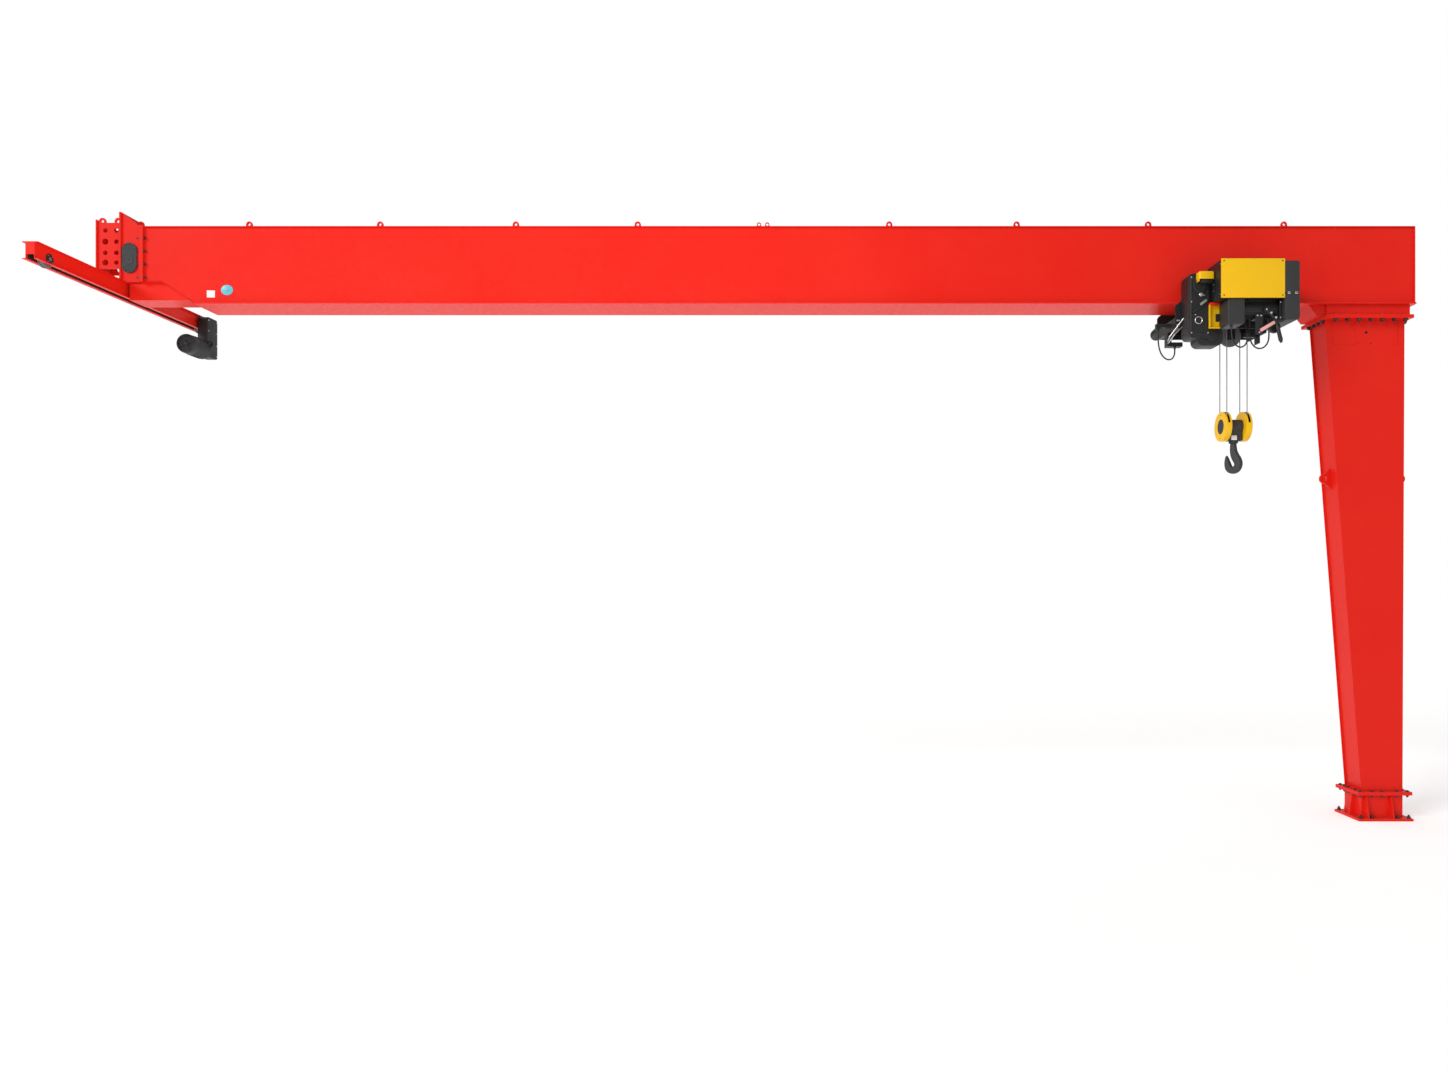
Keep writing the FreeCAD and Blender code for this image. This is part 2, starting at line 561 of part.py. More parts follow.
def trolley_wheel(x, side):
    """A flanged wheel on the girder's ledge, with its stub axle through the side plate."""
    y = side * TROLLEY_WHEEL_Y
    wheel = cylinder((x, y, TROLLEY_WHEEL_Z), (0, 1, 0), TROLLEY_WHEEL_R, TROLLEY_WHEEL_W)
    hub_out = TROLLEY_PLATE_Y + TROLLEY_PLATE_T - AXLE_SHY
    length = hub_out - TROLLEY_WHEEL_Y
    middle = side * (TROLLEY_WHEEL_Y + length / 2)
    axle = cylinder((x, middle, TROLLEY_WHEEL_Z), (0, 1, 0), TROLLEY_AXLE_R - RUNNING_CLEARANCE, length)
    return fuse([wheel, axle])


def tie_beam(x0):
    y = TROLLEY_PLATE_Y
    z0 = TROLLEY_PLATE_BOTTOM
    return box(x0, x0 + TIE_WIDTH, -y, y, z0, z0 + TIE_HEIGHT)


def drum_frame(x0):
    """A cross plate between the side plates that carries one end of the drum."""
    y, z0, z1 = TROLLEY_PLATE_Y, TROLLEY_PLATE_BOTTOM - 60, FRAME_TOP
    outline = [(-y, z0), (y - 120, z0), (y, z0 + 120), (y, z1), (-y, z1)]
    return end_plate(outline, x0, x0 + FRAME_T)


def rope_drum():
    """The grooved drum with its two flanges, from frame to frame."""
    left, right = FRAME_LEFT + FRAME_T, FRAME_RIGHT
    middle = (left + right) / 2
    barrel = cylinder((middle, DRUM_Y, DRUM_Z), (1, 0, 0), DRUM_R, DRUM_RIGHT - DRUM_LEFT)
    shaft = cylinder((middle, DRUM_Y, DRUM_Z), (1, 0, 0), 40, right - left)
    flange_t = 16.0
    reach = (DRUM_RIGHT - DRUM_LEFT) / 2 - flange_t / 2
    flanges = [cylinder((middle + s * reach, DRUM_Y, DRUM_Z), (1, 0, 0), DRUM_FLANGE_R, flange_t)
               for s in (-1, 1)]
    return fuse([barrel, shaft] + flanges)


SHEAVE_GROOVE = 20.0
SHEAVE_FLANGE_T = 12.0
SHEAVE_RIM = 19.0           # flange height above the groove's floor
SHEAVE_TOUCH = 0.3          # rope to groove
RETURN_SHEAVE_Z = 7000.0
CHEEK_T = 14.0
CHEEK_GAP = 6.0


def sheave(centre, axis, pitch_r, bore_r):
    floor = cylinder(centre, axis, pitch_r - ROPE_R - SHEAVE_TOUCH, SHEAVE_GROOVE)
    offset = (SHEAVE_GROOVE + SHEAVE_FLANGE_T) / 2
    flanges = []
    for s in (-1, 1):
        place = [c + s * offset * a for c, a in zip(centre, axis)]
        flanges.append(cylinder(place, axis, pitch_r - ROPE_R + SHEAVE_RIM, SHEAVE_FLANGE_T))
    bore = cylinder(centre, axis, bore_r, 400)
    return fuse([floor] + flanges).cut(bore)


def sheave_beam():
    """The beam between the drum frames with two cheeks and a pin for the return sheave."""
    left, right = FRAME_LEFT + FRAME_T, FRAME_RIGHT
    half = SHEAVE_GROOVE / 2 + SHEAVE_FLANGE_T + CHEEK_GAP
    y = FALL_Y
    beam = box(left, right, y - half - CHEEK_T, y + half + CHEEK_T, RETURN_SHEAVE_Z + 190, FRAME_TOP)
    cheeks = []
    for s in (-1, 1):
        y0, y1 = sorted((y + s * half, y + s * (half + CHEEK_T)))
        cheeks.append(box(HOOK_X - 60, HOOK_X + 60, y0, y1, RETURN_SHEAVE_Z - 60, FRAME_TOP))
    pin = cylinder((HOOK_X, y, RETURN_SHEAVE_Z), (0, 1, 0), 30, 2 * (half + CHEEK_T) + 20)
    return fuse([beam, pin] + cheeks)


ANCHOR = (-1938.0, FRAME_RIGHT, -150.0, -90.0, 6830.0, 6985.0)


def rope_anchor():
    """The bracket on the right drum frame where the rope ends."""
    x0, x1, y0, y1, z0, z1 = ANCHOR
    lug = box(x0, x1, y0, y1, z1 - 60, z1)
    plate = box(x1 - FRAME_T, x1, y0 - 40, y1 + 40, z0, z1 + 60)
    return fuse([lug, plate])


def tow_arm():
    """The arm that tows the cable loops along the girder, with its foot bracket."""
    z = TROLLEY_PLATE_BOTTOM
    arm = box(TOW_ARM_LEFT, TROLLEY_LEFT, -170, -110, z + 60, z + 110)
    head = box(TOW_ARM_LEFT, TOW_ARM_LEFT + 70, -180, -100, z + 30, z + 60)
    return fuse([arm, head])


def foot_bracket():
    z = TROLLEY_PLATE_BOTTOM
    left = TROLLEY_LEFT
    upright = box(left, left + 60, -60, 60, z - 190, z)
    foot = box(left, left + 220, -60, 60, z - 190, z - 130)
    return fuse([upright, foot])


def make_trolley():
    plate = TROLLEY_PLATE_Y + TROLLEY_PLATE_T
    x0, x1, z0, z1 = CABINET
    arms = [box(x, x + 80, CABINET_REAR, -plate, z0 + 20, z0 + 110) for x in (x0 + 60, x1 - 140)]
    front = fuse([trolley_side_plate(-1)] + arms)
    x0, x1, y0, y1, z0, z1 = COUNTERWEIGHT
    arms = [box(x, x + 70, plate, y0, z0 + 20, z0 + 120) for x in (x0 + 60, x1 - 130)]
    node("trolley_side_plates", front, fuse([trolley_side_plate(1)] + arms))
    node("counterweight", box(*COUNTERWEIGHT))
    right_tie = tie_beam(TROLLEY_RIGHT - TIE_WIDTH)
    buffers = [cylinder((TROLLEY_RIGHT + 45, y, BUFFER_Z), (1, 0, 0), 42, 90) for y in (-250, 250)]
    node("trolley_tie_beams", fuse([tie_beam(TROLLEY_LEFT), foot_bracket(), tow_arm()]),
         fuse([right_tie] + buffers))
    node("drum_frames", drum_frame(FRAME_LEFT), fuse([drum_frame(FRAME_RIGHT), rope_anchor()]))
    node("rope_drum", rope_drum())
    node("sheave_beam", sheave_beam())
    node("return_sheave", sheave((HOOK_X, FALL_Y, RETURN_SHEAVE_Z), (0, 1, 0), FALL_HALF_X, 30))
    for name, x in zip(("left", "right"), TROLLEY_WHEEL_XS):
        node("trolley_wheels_" + name, trolley_wheel(x, -1), trolley_wheel(x, 1))
    x = TROLLEY_LEFT + 70
    gearbox = rounded_box(x, x + 160, plate, plate + 150, 7080, 7390, 25, (0, 1, 0))
    node("travel_drive", fuse([gearbox, cylinder((x + 80, plate + 150 + 150, 7180), (0, 1, 0), 82, 300)]))


# ---------------------------------------------------------------- hoist on the front side
FRONT = -(TROLLEY_PLATE_Y + TROLLEY_PLATE_T)    # outer face of the front side plate
GEAR_FRONT = -640.0
CABINET_REAR = -500.0
CABINET_FRONT = -960.0
COVER_FRONT = -985.0
CABINET = (-2610.0, -1760.0, 7275.0, 7795.0)    # x0, x1, z0, z1
PANEL_LAP = 6.0
SHEET_T = 5.0               # folded sheet of the cabinet, its cover and the switch box
HOOD_T = 6.0
CASE_T = 28.0               # cast wall of the gear case
MOTOR_Y = -750.0
MOTOR_Z = 7155.0
MOTOR_R = 110.0
MOTOR_LEFT = -2285.0
HOOD_LEFT = CABINET[1] + 8.0
HOOD_RIGHT = -1550.0
HOOD_SPLIT = 7335.0
SWITCH_BOX = (-2510.0, -2285.0, -950.0, -650.0, 6920.0, 7275.0)


def gear_case():
    """The gear case: a tall rounded housing and a lower rounded lobe."""
    tall = rounded_box(-2930, -2620, GEAR_FRONT, FRONT, 6800, 7700, 70, (0, 1, 0))
    lobe = rounded_box(-2800, -2440, GEAR_FRONT + 30, FRONT, 6700, 6960, 85, (0, 1, 0))
    t = CASE_T
    inside = rounded_box(-2930 + t, -2620 - t, GEAR_FRONT + t, FRONT - t, 6800 + t, 7700 - t, 70 - t, (0, 1, 0))
    return fuse([tall, lobe]).cut(inside)


def hollow_cabinet(x0, x1, z0, z1):
    """A sheet box, open to the front, where its cover closes it."""
    t = SHEET_T
    body = box(x0, x1, CABINET_FRONT, CABINET_REAR, z0, z1)
    return body.cut(box(x0 + t, x1 - t, CABINET_FRONT - t, CABINET_REAR - t, z0 + t, z1 - t))


def hollow_cover(x0, x1, z0, z1):
    """The cabinet's cover: a shallow tray whose rim laps the cabinet."""
    t = SHEET_T
    lap = PANEL_LAP
    tray = box(x0 - lap, x1 + lap, COVER_FRONT, CABINET_FRONT, z0 - lap, z1 + lap)
    return tray.cut(box(x0 + t, x1 - t, COVER_FRONT + t, CABINET_FRONT + t, z0 + t, z1 - t))


def hollow_switch_box():
    """The switch box, open at the top, where the cabinet's floor closes it."""
    x0, x1, y0, y1, z0, z1 = SWITCH_BOX
    t = SHEET_T
    return rounded_box(*SWITCH_BOX, 28, (0, 1, 0)).cut(box(x0 + 28, x1 - 28, y0 + t, y1 - t, z0 + t, z1 - t))


def motor_hood(z0, z1, radius):
    """One half of the hood at the motor's end, open where the two halves meet."""
    y0, y1 = COVER_FRONT + 5, CABINET_REAR
    t = HOOD_T
    half = rounded_box(HOOD_LEFT, HOOD_RIGHT, y0, y1, z0, z1, radius, (0, 1, 0))
    inside = rounded_box(HOOD_LEFT + t, HOOD_RIGHT - t, y0 + t, y1 - t, z0 + t, z1 - t, radius - t, (0, 1, 0))
    mouth = box(HOOD_LEFT + radius, HOOD_RIGHT - radius, y0 + t, y1 - t, HOOD_SPLIT - 2 * t, HOOD_SPLIT + 2 * t)
    return half.cut(inside).cut(mouth)


def gear_guard():
    """A yellow folded guard in front of the gear case's lower half."""
    x0, x1, z0, z1 = -2660.0, -2392.0, 6925.0, 7262.0
    back = box(x0, x1, GEAR_FRONT - 8, GEAR_FRONT, z0, z1)
    left = box(x0, x0 + 10, GEAR_FRONT - 60, GEAR_FRONT - 8, z0, z1)
    floor = box(x0, SWITCH_BOX[0] - 4, GEAR_FRONT - 60, GEAR_FRONT - 8, z0, z0 + 10)
    return fuse([back, left, floor])


def limit_lever():
    """A bent bar from the motor's front down to the right."""
    stand_off = 20.0
    y = MOTOR_Y - MOTOR_R - stand_off
    points = [Vector(-1965, y, MOTOR_Z - 25), Vector(-1835, y, MOTOR_Z - 145), Vector(-1755, y, MOTOR_Z - 475)]
    parts = []
    for a, b in zip(points[:-1], points[1:]):
        parts.append(Part.makeCylinder(17, (b - a).Length, a, b - a))
    parts.append(Part.makeSphere(17, points[1]))
    boss = Part.makeCylinder(34, 2 * stand_off, points[0] + Vector(0, -stand_off, 0), Vector(0, 1, 0))
    return fuse(parts + [boss])


def motor():
    length = HOOD_LEFT - MOTOR_LEFT
    body = cylinder(((HOOD_LEFT + MOTOR_LEFT) / 2, MOTOR_Y, MOTOR_Z), (1, 0, 0), MOTOR_R, length)
    lug = box(MOTOR_LEFT + 40, HOOD_LEFT - 40, MOTOR_Y - 60, MOTOR_Y + 60, MOTOR_Z, CABINET[2])
    return fuse([body, lug])


def make_hoist():
    node("gear_case", gear_case())
    node("brake_cover", rounded_box(-2830, -2615, GEAR_FRONT - 120, GEAR_FRONT, 7560, 7700, 22, (1, 0, 0)))
    node("gear_guard", gear_guard())
    x0, x1, z0, z1 = CABINET
    node("control_cabinet", hollow_cabinet(x0, x1, z0, z1))
    node("cabinet_cover", hollow_cover(x0, x1, z0, z1))
    node("switch_box", hollow_switch_box())
    node("hoist_motor", motor())
    node("motor_hood_upper", motor_hood(HOOD_SPLIT, 7775, 30))
    node("motor_hood_lower", motor_hood(6970, HOOD_SPLIT, 45))
    node("limit_lever", limit_lever())


# ---------------------------------------------------------------- hook block and hook
HUB_R = 104.0
BLOCK_AXLE_R = 35.0
SLOT_HALF_W = 15.0
CROSSHEAD_HALF_X = FALL_HALF_X - COVER_HALF_T
CROSSHEAD_R = 103.0
CROSSHEAD_DEPTH = 205.0
CROSSHEAD_HALF_Y = 75.0
SHANK_R = 38.0
HOOK_TURN = -58.0           # degrees from the girder's plane at rest
HOOK_CENTRE = BLOCK_Z - 550.0
HOOK_OUTER_R = 137.0
HOOK_INNER_R = 55.0
HOOK_HALF_T = 42.0
HOOK_TOP = BLOCK_Z - CROSSHEAD_DEPTH - 6.0


def rope_slots(x):
    """Cutters for the two openings in a cover's rim, where the falls enter."""
    reach = COVER_R + 10
    band = ring((x, 0, BLOCK_Z), (1, 0, 0), reach, COVER_R - COVER_WALL - 4, 2 * SLOT_HALF_W)
    cutters = []
    for side in (-1, 1):
        y0, y1 = sorted((side * 40, side * reach))
        window = box(x - 50, x + 50, y0, y1, BLOCK_Z + 35, BLOCK_Z + reach)
        cutters.append(band.common(window))
    return cutters


def sheave_cover(side):
    """A round housing around one sheave, open at its hub, with two rope slots."""
    x = HOOK_X + side * FALL_HALF_X
    centre = (x, 0, BLOCK_Z)
    shell = cylinder(centre, (1, 0, 0), COVER_R, 2 * COVER_HALF_T)
    hollow = cylinder(centre, (1, 0, 0), COVER_R - COVER_WALL, 2 * (COVER_HALF_T - COVER_WALL))
    hub_hole = cylinder((x + side * COVER_HALF_T, 0, BLOCK_Z), (1, 0, 0), HUB_R + 3, 3 * COVER_WALL)
    axle_hole = cylinder((x - side * COVER_HALF_T, 0, BLOCK_Z), (1, 0, 0), BLOCK_AXLE_R, 3 * COVER_WALL)
    return cut_all(shell, [hollow, hub_hole, axle_hole] + rope_slots(x))


def block_axle():
    """The axle through both sheaves, with a broad cap in each cover's hub hole."""
    reach = FALL_HALF_X + COVER_HALF_T
    arms = []
    for side in (-1, 1):
        start = HOOK_X + side * CROSSHEAD_HALF_X
        end = HOOK_X + side * (reach - 4)
        arms.append(cylinder(((start + end) / 2, 0, BLOCK_Z), (1, 0, 0), BLOCK_AXLE_R, abs(end - start)))
        cap_x = HOOK_X + side * (reach - 4 - 5)
        arms[-1] = fuse([arms[-1], cylinder((cap_x, 0, BLOCK_Z), (1, 0, 0), HUB_R, 10)])
    return arms


def crosshead():
    half_x, half_y = CROSSHEAD_HALF_X, CROSSHEAD_HALF_Y
    barrel = cylinder((HOOK_X, 0, BLOCK_Z), (1, 0, 0), CROSSHEAD_R, 2 * half_x)
    lower = box(HOOK_X - half_x + 6, HOOK_X + half_x - 6, -half_y, half_y,
                BLOCK_Z - CROSSHEAD_DEPTH, BLOCK_Z)
    bore = cylinder((HOOK_X, 0, BLOCK_Z - CROSSHEAD_DEPTH), (0, 0, 1), SHANK_R, 180)
    return fuse([barrel, lower]).cut(bore)


def hook():
    """A single point hook, opening to -X before it is turned."""
    z = HOOK_CENTRE
    t = HOOK_HALF_T
    outer = cylinder((HOOK_X, 0, z), (0, 1, 0), HOOK_OUTER_R, 2 * t)
    throat = cylinder((HOOK_X - 8, 0, z + 10), (0, 1, 0), HOOK_INNER_R, 4 * t)
    mouth = box(HOOK_X - 200, HOOK_X + 20, -2 * t, 2 * t, z + 62, z + 300)
    bowl = cut_all(outer, [throat, mouth])
    neck = [(-36, HOOK_TOP), (36, HOOK_TOP), (46, z + 200), (122, z + 62), (52, z + 30),
            (20, z + 66), (-26, z + 140), (-36, z + 190)]
    neck = side_plate([(HOOK_X + x, zz) for x, zz in neck], -t, t)
    lead = box(HOOK_X - 200, HOOK_X - 30, -2 * t, 2 * t, z + 20, z + 66)
    body = fuse([bowl, neck.cut(throat.common(lead))])
    shank = cylinder((HOOK_X, 0, HOOK_TOP + 30), (0, 0, 1), SHANK_R - RUNNING_CLEARANCE, 130)
    whole = fuse([body, shank])
    whole.rotate(Vector(HOOK_X, 0, 0), Vector(0, 0, 1), HOOK_TURN)
    return whole


def rope_fall(x, y, top):
    return cylinder((x, y, (BLOCK_Z + top) / 2), (0, 0, 1), ROPE_R, top - BLOCK_Z)


def make_hook_block():
    node("sheave_covers", sheave_cover(-1), sheave_cover(1))
    sheaves = [sheave((HOOK_X + s * FALL_HALF_X, 0, BLOCK_Z), (1, 0, 0), FALL_Y, BLOCK_AXLE_R)
               for s in (-1, 1)]
    node("block_sheaves", *[fuse([s, arm]) for s, arm in zip(sheaves, block_axle())])
    node("crosshead", crosshead())
    node("hook", hook())
    left, right = HOOK_X - FALL_HALF_X, HOOK_X + FALL_HALF_X
    falls = [rope_fall(left, -FALL_Y, DRUM_Z), rope_fall(right, -FALL_Y, ANCHOR[5] - 60),
             rope_fall(left, FALL_Y, RETURN_SHEAVE_Z), rope_fall(right, FALL_Y, RETURN_SHEAVE_Z)]
    node("rope_falls", *falls)


# ---------------------------------------------------------------- cable loops
CABLE_R = 10.0
CABLE_ROUTES = {
    "tow_cable": [(-3175, -140, 7030), (-3175, -140, 6915), (-3168, -142, 6790), (-3130, -144, 6670),
                  (-3050, -138, 6598), (-2965, -120, 6610), (-2918, -90, 6685), (-2900, -48, 6750),
                  (-2900, -48, 6810)],
    "switch_cable": [(-2440, -880, 6920), (-2440, -880, 6830), (-2430, -878, 6730), (-2385, -874, 6650),
                     (-2310, -868, 6610), (-2235, -862, 6650), (-2203, -848, 6740), (-2197, -812, 6850),
                     (-2203, -757, 6965), (-2203, -757, 7044.8)],
    "motor_cable": [(-2130, -750, 7044.8), (-2130, -750, 6930), (-2140, -758, 6800), (-2115, -768, 6690),
                    (-2045, -776, 6620), (-1955, -776, 6625), (-1885, -768, 6700), (-1865, -758, 6810),
                    (-1872, -750, 6930), (-1872, -750, 7044.8)],
}
BEND_SHARE = 0.45


def cable(name, points):
    """A round cable along straight runs joined by tangent arcs as large as the runs allow."""
    points = [Vector(*p) for p in points]
    edges = []
    length = 0.0
    radii = []
    start = points[0]
    for before, corner, after in zip(points[:-2], points[1:-1], points[2:]):
        come = corner - before
        leave = after - corner
        turn = come.getAngle(leave)
        setback = BEND_SHARE * min(come.Length, leave.Length)
        radius = setback / math.tan(turn / 2)
        radii.append(radius)
        come.normalize()
        leave.normalize()
        first = corner - come * setback
        last = corner + leave * setback
        towards = (leave - come)
        towards.normalize()
        middle = corner + towards * (radius / math.cos(turn / 2) - radius)
        edges.append(Part.LineSegment(start, first).toShape())
        edges.append(Part.Arc(first, middle, last).toShape())
        length += (first - start).Length + radius * turn
        start = last
    edges.append(Part.LineSegment(start, points[-1]).toShape())
    length += (points[-1] - start).Length
    path = Part.Wire(edges)
    section = Part.Wire(Part.Circle(points[0], points[1] - points[0], CABLE_R).toShape())
    tube = path.makePipeShell([section], True, False, 2)
    volume = math.pi * CABLE_R ** 2 * length
    print(f"{name}: {length:.0f} mm, tightest bend {min(radii):.0f} mm, volume {tube.Volume / volume:.4f}")
    return tube


def make_cables():
    for name, points in CABLE_ROUTES.items():
        node(name, cable(name, points))


# ---------------------------------------------------------------- carriage drive
DRIVE_Y = 1640.0
DRIVE_GEARBOX = (CARRIAGE_X + CARRIAGE_HALF_WIDTH, -17780.0, DRIVE_Y - 90.0, DRIVE_Y + 210.0, 7010.0, 7650.0)
DRIVE_MOTOR_Z = 7115.0
DRIVE_MOTOR_R = 150.0
DRIVE_MOTOR_LENGTH = 420.0


def make_drive():
    x0, x1, y0, y1, z0, z1 = DRIVE_GEARBOX
    node("drive_gearbox", rounded_box(x0, x1, y0, y1, z0, z1, 45, (1, 0, 0)))
    middle = ((x0 + x1) / 2, y0 - DRIVE_MOTOR_LENGTH / 2, DRIVE_MOTOR_Z)
    node("drive_motor", cylinder(middle, (0, 1, 0), DRIVE_MOTOR_R, DRIVE_MOTOR_LENGTH))


def main():
    make_leg()
    make_girder()
    make_left_end()
    make_carriage()
    make_drive()
    make_trolley()
    make_hoist()
    make_hook_block()
    make_cables()
    os.makedirs("parts", exist_ok=True)
    for name, shape in NODES.items():
        if not shape.isValid():
            print("not valid:", name)
        shape.exportStep(os.path.join("parts", name + ".step"))
    print(len(NODES), "nodes,", sum(len(s.Solids) for s in NODES.values()), "solids")


main()
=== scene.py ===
import math

import bpy
from bpy.props import FloatProperty, FloatVectorProperty, IntProperty, PointerProperty
from mathutils import Matrix, Vector
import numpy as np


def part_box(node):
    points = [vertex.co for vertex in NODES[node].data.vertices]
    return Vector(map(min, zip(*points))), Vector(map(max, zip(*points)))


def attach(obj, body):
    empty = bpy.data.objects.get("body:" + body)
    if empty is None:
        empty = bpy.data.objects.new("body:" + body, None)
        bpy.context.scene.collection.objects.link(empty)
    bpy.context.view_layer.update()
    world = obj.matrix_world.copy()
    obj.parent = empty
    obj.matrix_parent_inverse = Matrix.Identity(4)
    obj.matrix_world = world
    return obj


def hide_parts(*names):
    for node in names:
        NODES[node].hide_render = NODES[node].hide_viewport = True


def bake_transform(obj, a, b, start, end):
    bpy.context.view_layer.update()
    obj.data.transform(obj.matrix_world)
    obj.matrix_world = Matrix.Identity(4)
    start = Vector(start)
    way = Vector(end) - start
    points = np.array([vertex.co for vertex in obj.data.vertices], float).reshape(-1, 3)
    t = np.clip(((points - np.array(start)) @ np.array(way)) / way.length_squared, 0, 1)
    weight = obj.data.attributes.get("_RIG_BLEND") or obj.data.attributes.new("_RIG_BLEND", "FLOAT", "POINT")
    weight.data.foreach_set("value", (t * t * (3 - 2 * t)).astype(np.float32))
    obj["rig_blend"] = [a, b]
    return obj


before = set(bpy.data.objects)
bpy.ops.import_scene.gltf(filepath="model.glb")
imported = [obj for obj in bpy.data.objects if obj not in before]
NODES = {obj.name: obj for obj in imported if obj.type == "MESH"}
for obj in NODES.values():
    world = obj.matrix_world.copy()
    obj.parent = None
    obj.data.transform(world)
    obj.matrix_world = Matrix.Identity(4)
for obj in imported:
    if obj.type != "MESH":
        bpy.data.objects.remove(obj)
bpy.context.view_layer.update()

bl_info = {
    "name": "Semi-gantry crane fittings and finishes",
    "version": (1, 0, 0),
    "blender": (4, 5, 0),
    "location": "View3D > Sidebar > Crane",
    "description": "Adds the bolts, welds, ropes, cable loops and paint of a semi-gantry crane",
    "category": "Object",
}

# ---------------------------------------------------------------- sizes and colours a user would change


class CraneFasteners(bpy.types.PropertyGroup):
    anchor_flats: FloatProperty(name="Anchor nut", description="Across the flats of an anchor nut",
                                default=0.046, unit="LENGTH")
    flange_flats: FloatProperty(name="Flange bolt", description="Across the flats of a flange bolt's head",
                                default=0.036, unit="LENGTH")
    head_flats: FloatProperty(name="Head bolt", description="Across the flats of a bolt at the leg's head",
                              default=0.050, unit="LENGTH")
    splice_flats: FloatProperty(name="Splice bolt", description="Across the flats of a splice bolt's head",
                                default=0.032, unit="LENGTH")
    small_flats: FloatProperty(name="Cover screw", description="Across the flats of a cover screw's head",
                               default=0.013, unit="LENGTH")
    anchor_stick_out: FloatProperty(name="Anchor stud", description="Stud length above the anchor nut",
                                    default=0.022, unit="LENGTH")
    splice_rows: IntProperty(name="Splice rows", description="Bolts up each side of the splice",
                             default=4, min=2, max=12)


class CraneRopes(bpy.types.PropertyGroup):
    rope_radius: FloatProperty(name="Rope radius", description="Outer radius of the hoist rope",
                               default=0.007, unit="LENGTH")
    lay_length: FloatProperty(name="Lay length", description="Length of one full twist of the rope",
                              default=0.09, unit="LENGTH")
    strands: IntProperty(name="Strands", description="Strands round the rope's core",
                         default=6, min=3, max=8)
    drum_pitch: FloatProperty(name="Drum groove pitch", description="Distance between turns on the drum",
                              default=0.016, unit="LENGTH")
    cable_radius: FloatProperty(name="Cable radius", description="Outer radius of the looped cables",
                                default=0.010, unit="LENGTH")


class CraneFinish(bpy.types.PropertyGroup):
    red: FloatVectorProperty(name="Red enamel", description="Paint of the steel structure", subtype="COLOR",
                             size=3, min=0, max=1, default=(0.700, 0.0125, 0.0060))
    yellow: FloatVectorProperty(name="Yellow enamel", description="Paint of covers and guards",
                                subtype="COLOR", size=3, min=0, max=1, default=(0.860, 0.500, 0.004))
    machine: FloatVectorProperty(name="Machine grey", description="Paint of gear case, motors and cabinet",
                                 subtype="COLOR", size=3, min=0, max=1, default=(0.010, 0.010, 0.0105))
    hood: FloatVectorProperty(name="Hood grey", description="Moulded hoods and boxes", subtype="COLOR",
                              size=3, min=0, max=1, default=(0.026, 0.026, 0.027))
    forged: FloatVectorProperty(name="Forged black", description="Hook and crosshead", subtype="COLOR",
                                size=3, min=0, max=1, default=(0.012, 0.012, 0.0125))


class CraneStage(bpy.types.PropertyGroup):
    eye: FloatVectorProperty(name="Eye", description="Place of the camera", subtype="XYZ", unit="LENGTH",
                             size=3, default=(-8.615, -15.19, 3.43))
    lens: FloatProperty(name="Lens", description="Focal length", default=26.0, unit="CAMERA")
    sun: FloatProperty(name="Sun", description="Strength of the sun", default=1.55, min=0)
    sky: FloatProperty(name="Sky", description="Strength of the pale surroundings", default=0.55, min=0)


# ---------------------------------------------------------------- modelling helpers
def deselect():
    if bpy.context.object and bpy.context.object.mode != "OBJECT":
        bpy.ops.object.mode_set(mode="OBJECT")
    bpy.ops.object.select_all(action="DESELECT")


def take(piece):
    deselect()
    piece.select_set(True)
    bpy.context.view_layer.objects.active = piece
    return piece


def settle(piece):
    """Puts the piece's place, turn and scale into its mesh."""
    take(piece)
    bpy.ops.object.transform_apply(location=True, rotation=True, scale=True)
    return piece


def pointing(place, direction, spin=0.0):
    """The matrix that takes a model standing on the origin to a place and a direction."""
    turn = Vector((0, 0, 1)).rotation_difference(Vector(direction).normalized())
    return Matrix.Translation(place) @ turn.to_matrix().to_4x4() @ Matrix.Rotation(spin, 4, "Z")


def shaped(piece, chosen, *steps):
    """Selects the faces that pass the test on centre and normal, and runs the steps on them."""
    take(piece)
    bpy.ops.object.mode_set(mode="EDIT")
    bpy.context.tool_settings.mesh_select_mode = (False, False, True)
    bpy.ops.mesh.select_all(action="DESELECT")
    bpy.ops.object.mode_set(mode="OBJECT")
    for polygon in piece.data.polygons:
        polygon.select = chosen(polygon.center, polygon.normal)
    bpy.ops.object.mode_set(mode="EDIT")
    for step in steps:
        step()
    bpy.ops.object.mode_set(mode="OBJECT")
    return piece


def pulled(*move):
    """The step that draws the chosen faces out along a line."""
    return lambda: bpy.ops.mesh.extrude_region_move(TRANSFORM_OT_translate={"value": move})


def applied(piece, kind, **settings):
    take(piece)
    modifier = piece.modifiers.new(kind.lower(), kind)
    for key, value in settings.items():
        setattr(modifier, key, value)
    bpy.ops.object.modifier_apply(modifier=modifier.name)
    return piece


def rounded(piece, width, segments=2, angle=35.0):
    return applied(piece, "BEVEL", width=width, segments=segments, limit_method="ANGLE",
                   angle_limit=math.radians(angle), harden_normals=False)


def plate(low, high, round_by=0.0, segments=2):
    low, high = Vector(low), Vector(high)
    deselect()
    bpy.ops.mesh.primitive_cube_add(size=1, location=(low + high) / 2, scale=high - low)
    piece = settle(bpy.context.object)
    return rounded(piece, round_by, segments) if round_by else piece


def bar(radius, start, end, sides=24):
    start, end = Vector(start), Vector(end)
    deselect()
    bpy.ops.mesh.primitive_cylinder_add(vertices=sides, radius=radius, depth=(end - start).length)
    piece = bpy.context.object
    piece.data.transform(pointing((start + end) / 2, end - start))
    return piece


